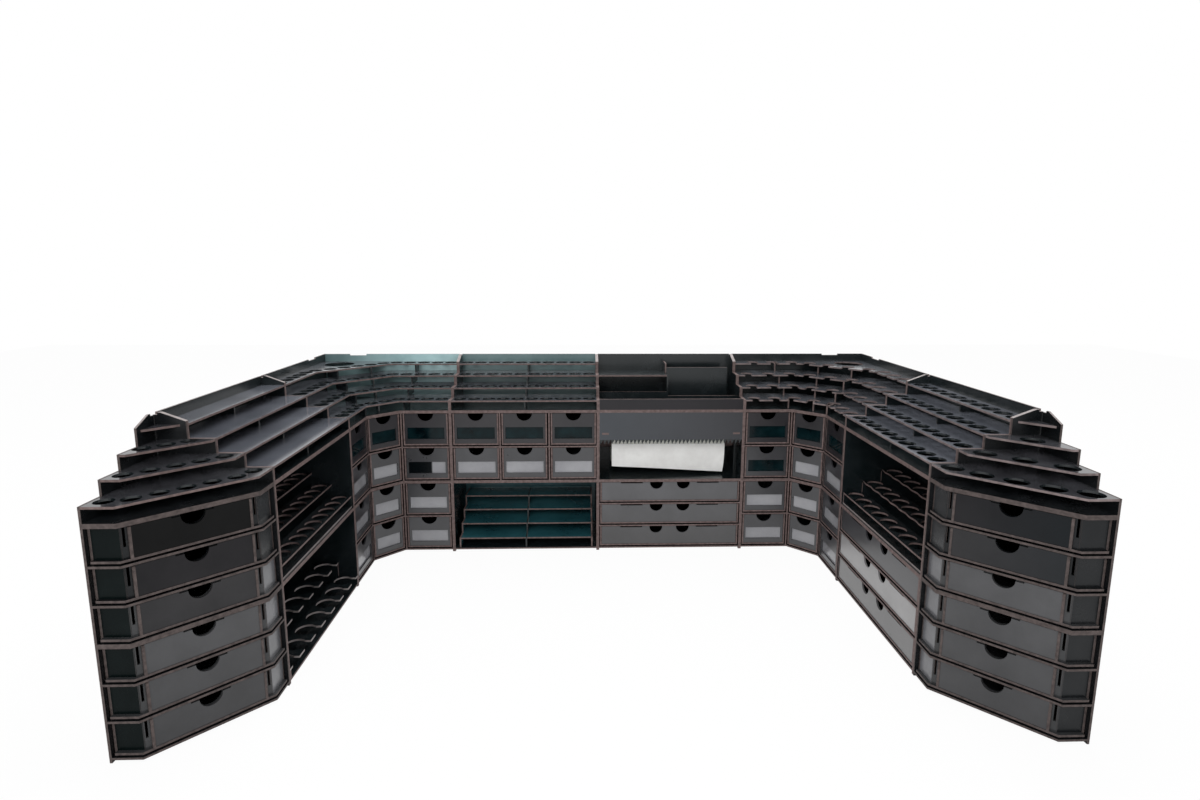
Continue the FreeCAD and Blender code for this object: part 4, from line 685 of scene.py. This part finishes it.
def endTiers(radius, counts):
    # holes at the middles of equal shares of the front's path, half a step in
    parts = []
    for tier in range(rack["tiers"]):
        offset = tier * rack["step"]
        path = np.array(endEdge(offset + rack["step"] / 2))
        run = np.r_[0, np.cumsum(np.linalg.norm(np.diff(path, axis=0), axis=1))]
        spots = (np.arange(counts[tier]) + 0.5) / max(1, counts[tier]) * run[-1]
        cuts = [ring((np.interp(s, run, path[:, 0]), np.interp(s, run, path[:, 1])), radius) for s in spots]
        outline = endEdge(offset) + [(rack["endDepth"] - rack["board"], -rack["board"])]
        # the hole walls take paint 2, the dark lacquer, as painted shade inside the holes
        parts.append(cutBoard(outline, cuts, rack["board"], lyingFlat, (0, 0, tierLevel(tier)), 2))
    return parts


def straightTiers():
    # rectangles between the side walls, each with one row of evenly spaced holes half a step in
    left, right, parts = rack["left"], rack["right"], []
    across = left + (np.arange(rack["bottleCount"]) + 0.5) * (right - left) / rack["bottleCount"]
    for tier in range(rack["tiers"]):
        front = tier * rack["step"]
        plan = slab((left, front), (right, min(front + rack["shelfDepth"], rack["back"])))
        cuts = [ring((x, front + rack["step"] / 2), rack["bottleRadius"]) for x in across]
        # the hole walls take paint 2, the dark lacquer, as painted shade inside the holes
        parts.append(cutBoard(plan, cuts, rack["board"], lyingFlat, (0, 0, tierLevel(tier)), 2))
    return parts


def bottleAt(spot, turn):
    # a round hole is the same at every turn
    return ring(spot, rack["bottleRadius"])


def jarAt(spot, turn):
    # a notch opens towards the front of its facet
    return openRing(spot, rack["jarRadius"], rack["jarMouth"], rack["jarReach"], turn)


leftLooks = ["rackFace", "cutEdge", "boardFace", "endTier"]
rightLooks = ["rackFace", "rackEdge", "boardFace", "sheenFace", "endTier"]
# the bottle holes' walls take paint 2, the dark lacquer, as painted shade
leftTiers = [turnPart(part, *cornerPlace, mirrored=True)
             for part in cornerTiers(rack["bottleRows"], bottleAt, 2)]
# the left end's tiers are painted darker as shade
leftTiers += [turnPart(recolour(part, leftLooks.index("endTier")), *endPlace, mirrored=True)
              for part in endTiers(rack["brushRadius"], rack["brushCounts"])]
leftTiers += [turnPart(part, *unitPlaces["centre_left_case"]) for part in straightTiers()]
makePiece("left_tiers", leftTiers, leftLooks, "workstation", ["left_bottle_shelves"])
# the right corner's notch walls take the cut edge painted paler as highlight
rightTiers = [turnPart(part, *cornerPlace) for part in cornerTiers(rack["jarRows"], jarAt, 1)]
# the right end's tiers are painted darker as shade
rightTiers += [turnPart(recolour(part, rightLooks.index("endTier")), *endPlace)
               for part in endTiers(rack["tubeRadius"], rack["tubeCounts"])]
# the right wing's tiers are painted with sheen
rightTiers += [turnPart(recolour(part, rightLooks.index("sheenFace")), *unitPlaces["right_wing_case"])
               for part in straightTiers()]
makePiece("right_tiers", rightTiers, rightLooks, "workstation", ["right_bottle_shelves"])
print("racks")

# ---- drawers: paint 2 is the front, 3 the pane, and on an end drawer 3 and 4 its two short fronts
drawer = {
    "board": 3, "depth": 141, "smallHeight": 67.4, "lowHeight": 43.5, "inset": 0.8, "lift": 2.2, "toe": 7,
    "play": 1.5, "seam": 0.5, "edgeSpare": 5,
    "notchRadius": 16, "notchRaise": 1, "notchSides": 40,
    "windowSide": 9, "windowLow": 14.5, "windowHigh": 39, "paneThick": 1.5, "paneLap": 3,
    "gripRadius": 13.5, "gripApart": 56, "gripDrop": 1, "gripSides": 36,
    "revealLong": 46, "revealDeep": 2.2, "revealPlace": 79.5,
}
bottomTop = drawer["lift"] + drawer["board"]


def sideBoard(height, x, near, far):
    # its lower front corner is cut back, which leaves the gap under the front open across the whole width
    b, lift, toe = drawer["board"], drawer["lift"], near + drawer["toe"]
    outline = [(toe, 0), (far, 0), (far, height), (near, height), (near, lift), (toe, lift)]
    return cutBoard(outline, [], b, foreAndAft, (x, 0, 0))


def drawerBox(width, height):
    # two sides, with the bottom and the back between them
    b, deep, lift, play = drawer["board"], drawer["depth"], drawer["lift"], drawer["play"]
    near = play + b
    boards = boxBoards([(near, 0, lift, width - near, deep, lift + b),
                        (near, deep - b, bottomTop, width - near, deep, height)])
    return [boards, sideBoard(height, play, 0, deep), sideBoard(height, width - near, 0, deep)]


def smallDrawer(width):
    # a front with a half-round notch above a window, and a clear pane behind it
    b, high, inset, lap = drawer["board"], drawer["smallHeight"], drawer["inset"], drawer["paneLap"]
    near = drawer["play"] + b + drawer["seam"]
    side, low, top = drawer["windowSide"], drawer["windowLow"], drawer["windowHigh"]
    notch = ring((width / 2, high + drawer["notchRaise"]), drawer["notchRadius"], drawer["notchSides"])
    window = slab((side, low), (width - side, top))
    front = cutBoard(slab((near, bottomTop), (width - near, high)), [notch, window], b, acrossIt,
                     (0, inset + b, 0), 0)
    points, faces, _ = boxBoards([near, inset + b, low - lap,
                                  width - near, inset + b + drawer["paneThick"], top + lap])
    return drawerBox(width, high) + [recolour(front, 2), (points, faces, np.full(len(faces), 3))]


def wideDrawer(width):
    # a front with two half-round notches and a shallow slot beside each
    b, high, inset = drawer["board"], drawer["lowHeight"], drawer["inset"]
    near = drawer["play"] + b + drawer["seam"]
    cuts = []
    for way in (-1, 1):
        grip = (width / 2 + way * drawer["gripApart"] / 2, high - drawer["gripDrop"])
        cuts.append(ring(grip, drawer["gripRadius"], drawer["gripSides"]))
        middle = width / 2 + way * drawer["revealPlace"]
        cuts.append(slab((middle - drawer["revealLong"] / 2, high - drawer["revealDeep"]),
                         (middle + drawer["revealLong"] / 2, high + drawer["edgeSpare"])))
    front = cutBoard(slab((near, bottomTop), (width - near, high)), cuts, b, acrossIt, (0, inset + b, 0), 0)
    return drawerBox(width, high) + [recolour(front, 2)]


endTray = {
    "reach": 150, "flat": 40, "clear": 3.5, "back": 1, "recess": 6, "frontMargin": 14,
    "slot": (3, 24), "cheekRound": 3.2, "cheekPoints": 6,
}


def endDrawer():
    # a tray on the quarter-corner plan, with a layered front across its slant between two rounded cheeks
    b, high, inset, lift = drawer["board"], drawer["lowHeight"], drawer["inset"], drawer["lift"]
    reach, clear, back, recess = (endTray[key] for key in ("reach", "clear", "back", "recess"))
    inner, within, near = reach - clear, clear + b, endTray["frontMargin"]
    flat = endTray["flat"] - bendRun * back
    plan = [(back, -within), (back, -flat), (reach - flat, back - reach),
            (reach - within, back - reach), (reach - within, -within)]
    walls = [(recess, -within, 0, inner, -clear, high), (inner - b, recess - reach, 0, inner, -within, high)]
    firstShort = boxBoards([recess, -flat, bottomTop, recess + b, -within, high])
    secondShort = boxBoards([reach - flat, recess - reach, bottomTop,
                             reach - within, recess + b - reach, high])
    slant = math.sqrt(2) * (reach - endTray["flat"])
    middle, front, gripLevel = slant / 2, back + inset, high - drawer["revealDeep"]
    backing = front + b
    shrink = bendRun * (backing + b)
    grip = ring((middle, gripLevel), drawer["gripRadius"], drawer["gripSides"])
    reveal = slab((middle - drawer["revealLong"] / 2, gripLevel),
                  (middle + drawer["revealLong"] / 2, high + drawer["edgeSpare"]))
    face = cutBoard(slab((near, bottomTop), (slant - near, high)), [grip, reveal], b,
                    acrossIt, (0, front + b, 0), 0)
    slotWide, slotHigh = endTray["slot"]
    firstSlot = (near - b - slotWide + shrink) / 2
    slots = [slab((x, high - slotHigh), (x + slotWide, high + b))
             for x in (firstSlot, slant - firstSlot - slotWide)]
    wall = cutBoard(slab((shrink, bottomTop), (slant - shrink, high)), slots + [grip], b,
                    acrossIt, (0, backing + b, 0), 0)
    bend, radius = np.linspace(0, np.pi / 2, endTray["cheekPoints"]), endTray["cheekRound"]
    crown = np.c_[back + radius * (1 - np.cos(bend)), high - radius * (1 - np.sin(bend))]
    profile = np.vstack([[(back, bottomTop)], crown, [(front + b, high), (front + b, bottomTop)]])
    cheeks = [recolour(cutBoard(profile, [], b, foreAndAft, (x, 0, 0)), 1) for x in (near - b, slant - near)]
    layered = [turnPart(part, 0, -endTray["flat"], -45) for part in (recolour(face, 2), wall, *cheeks)]
    return [cutBoard(plan, [], b, lyingFlat, (0, 0, lift)), boxBoards(walls),
            recolour(firstShort, 3), recolour(secondShort, 4)] + layered


# the kinds carry painted shade and reflection by row, on one lacquer and one clear pane
drawerLooks = {   # looks by the kind of drawer
    "topSmall": ["boardFace", "cutEdge", "topFront", "shadePane"],
    "lowSmall": ["boardFace", "cutEdge", "smallFront", "reflectionPane"],
    "darkSmall": ["boardFace", "cutEdge", "smallFront", "shadePane"],
    "halfSmall": ["boardFace", "cutEdge", "smallFront", "halfReflectionPane"],
    "wide": ["boardFace", "cutEdge", "lowFront"],
    "wingTop": ["boardFace", "cutEdge", "smallFront"],
    "wingSecond": ["boardFace", "cutEdge", "wingReflectionFront"],
    "wing": ["boardFace", "cutEdge", "wingFront"],
}
# the wing drawers' rows carry painted shade and reflection
wingKinds = {"1": "wingTop", "2": "wingSecond", "3": "wing"}   # top row first
# two drawers whose panes differ: one in painted shade, one half shade and half reflection
ownKinds = {"right_corner_drawer_row2_col1": "darkSmall", "left_corner_drawer_row2_col1": "halfSmall"}
# the end drawers' fronts by row: painted shade in the upper rows, lighter below
endFronts = {"left": ["endShadeFront", "endTop", "endSecond", "endFront", "endFront", "endFront"],   # top row first
             "right": ["endTop", "endSecond", "endFront", "endFront", "endFront", "endFront"]}
# the top rows' walls and short fronts are in painted shade; the rows below are painted lighter as reflection
shadedRows = 2   # the end drawers below these have lighter walls and short fronts
cornerParts = {"1": smallDrawer(93), "2": smallDrawer(69.7107), "3": smallDrawer(93)}   # by column
thirdParts, wideParts, endParts = smallDrawer(95), wideDrawer(293), endDrawer()
halfRoot = 1 / math.sqrt(2)
drawerPlaces = {   # x, y and turn of the drawer's left front corner
    "right_corner_1": (303.5, 226, 0), "right_corner_2": (400 + 1.5 * halfRoot, 225 + 0.5 * halfRoot, -45),
    "right_corner_3": (451, 171.5, -90), "left_corner_1": (-396.5, 226, 0),
    "left_corner_2": (-450 - 0.5 * halfRoot, 175 + 1.5 * halfRoot, 45), "left_corner_3": (-451, 78.5, 90),
    "centre_right": (3.5, 226, 0), "right_wing": (451, 71.5, -90),
    "right_end": (450, -225, 0), "left_end": (-600, -375, 90),
}


def endDrawerLooks(side, row):
    # walls, edges and front, then the short fronts that face -x and -y in the drawer's own frame;
    # below the shaded top rows the walls and the inner short front are painted lighter as reflection,
    # and the left end's outer short front is in deep painted shade
    low = row > shadedRows
    inner = "endSheen" if low else "endWall"
    shorts = [inner, "endBoard"] if side == "right" else ["endShade", inner]
    return ["endWall" if low else "endBoard", "endEdge", endFronts[side][row - 1], *shorts]


for name, node in nodes.items():
    if "_drawer_" not in name:
        continue
    unit, last = name.split("_drawer_")[0], name[-1]
    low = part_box(name)[0]
    kind = ownKinds.get(name, "topSmall" if "_row1_" in name else "lowSmall")
    if unit.endswith("_corner"):
        parts, place = cornerParts[last], drawerPlaces[unit + "_" + last]
    elif unit == "centre_left":
        parts, place = thirdParts, (low.x * 1000, 226, 0)
    elif unit.endswith("_end"):
        parts, place = endParts, drawerPlaces[unit]
    else:
        parts, place = wideParts, drawerPlaces[unit]
        kind = "wide" if unit == "centre_right" else wingKinds[last]
    looks = endDrawerLooks(unit.split("_")[0], int(last)) if unit.endswith("_end") else drawerLooks[kind]
    placed = [turnPart(part, *place, low.z * 1000) for part in parts]
    makePiece(name + "_boards", placed, looks, node["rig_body"], [name])
print("drawers")

# ---- ends of the two hangers that show in the tear panel
tenon = {"long": 14, "high": 4, "level": 249, "places": (15, 285), "front": 225, "proud": 0.1, "sunk": 1}
tenonRows = [(x - tenon["long"] / 2, tenon["front"] - tenon["proud"], tenon["level"],
              x + tenon["long"] / 2, tenon["front"] + tenon["sunk"], tenon["level"] + tenon["high"])
             for x in tenon["places"]]
makePiece("panel_tenons", [recolour(boxBoards(tenonRows), 1)], ["boardFace", "cutEdge"], "workstation")

# ---- paper: the roll on its dowel and the end that hangs from it
roll = {"axis": (313, 220), "radius": 52, "core": 20, "from": 30, "to": 270, "sides": 96,
        "wraps": 17, "waver": 0.35, "inset": 0.4}


def paperRoll():
    # turned profile: bore, wound end, outside, wound end, carried once round the axis
    sides, wraps, inset, (axisY, axisZ) = roll["sides"], roll["wraps"], roll["inset"], roll["axis"]
    wound = np.linspace(roll["core"], roll["radius"], wraps)
    waver = roll["waver"] * np.cos(np.arange(wraps) * np.pi)
    radius = np.r_[wound, wound[::-1]]
    across = np.r_[roll["from"] + inset + waver, roll["to"] - inset - waver[::-1]]
    turn = np.linspace(0, 2 * np.pi, sides, endpoint=False)[:, None]
    grid = np.stack([np.broadcast_to(across, (sides, len(across))), axisY + radius * np.cos(turn),
                     axisZ + radius * np.sin(turn)], -1)
    wide = len(across)
    a = (np.arange(sides)[:, None] * wide + np.arange(wide)).ravel()
    b = (np.arange(sides)[:, None] * wide + (np.arange(wide) + 1) % wide).ravel()
    c, d = (a + wide) % (sides * wide), (b + wide) % (sides * wide)
    faces = np.vstack([np.c_[a, b, d], np.c_[a, d, c]])[:, ::-1]
    return grid.reshape(-1, 3), faces, np.zeros(len(faces), int)


makePiece("towel_roll", [paperRoll()], ["rollShadeFace"], "paper_roll", ["paper_roll"])
hanging = {"from": 30, "to": 269, "top": 220, "lowLeft": 172, "lowRight": 159, "depth": 260.15, "curl": 1.6,
           "evenShare": 0.6, "rippleShare": 0.4, "ripples": (7, 2), "kink": 4, "kinkPower": 3,
           "columns": 48, "rows": 24}


def hangingPaper():
    # down from the roll to a sloping lower edge: it comes forward with the square of v and a sine ripple,
    # and its right edge swings in with the cube of v
    u, v = np.meshgrid(np.linspace(0, 1, hanging["columns"]), np.linspace(0, 1, hanging["rows"]))
    wide = hanging["to"] - hanging["from"]
    x = hanging["from"] + u * (wide - hanging["kink"] * v ** hanging["kinkPower"])
    lowEdge = hanging["lowLeft"] + u * (hanging["lowRight"] - hanging["lowLeft"])
    z = hanging["top"] + v * (lowEdge - hanging["top"])
    acrossRipple, downRipple = hanging["ripples"]
    ripple = hanging["evenShare"] + hanging["rippleShare"] * np.sin(acrossRipple * u + downRipple * v)
    y = hanging["depth"] - hanging["curl"] * v * ripple * v
    grid = np.stack([x, y, z], -1).reshape(-1, 3)
    count = hanging["columns"]
    a = (np.arange(hanging["rows"] - 1)[:, None] * count + np.arange(count - 1)).ravel()
    faces = np.vstack([np.c_[a, a + count, a + count + 1], np.c_[a, a + count + 1, a + 1]])
    return grid, faces, np.zeros(len(faces), int)


paper = makePiece("hanging_paper", [hangingPaper()], ["paperFace"], "workstation", ["paper_sheet"])
print("paper")
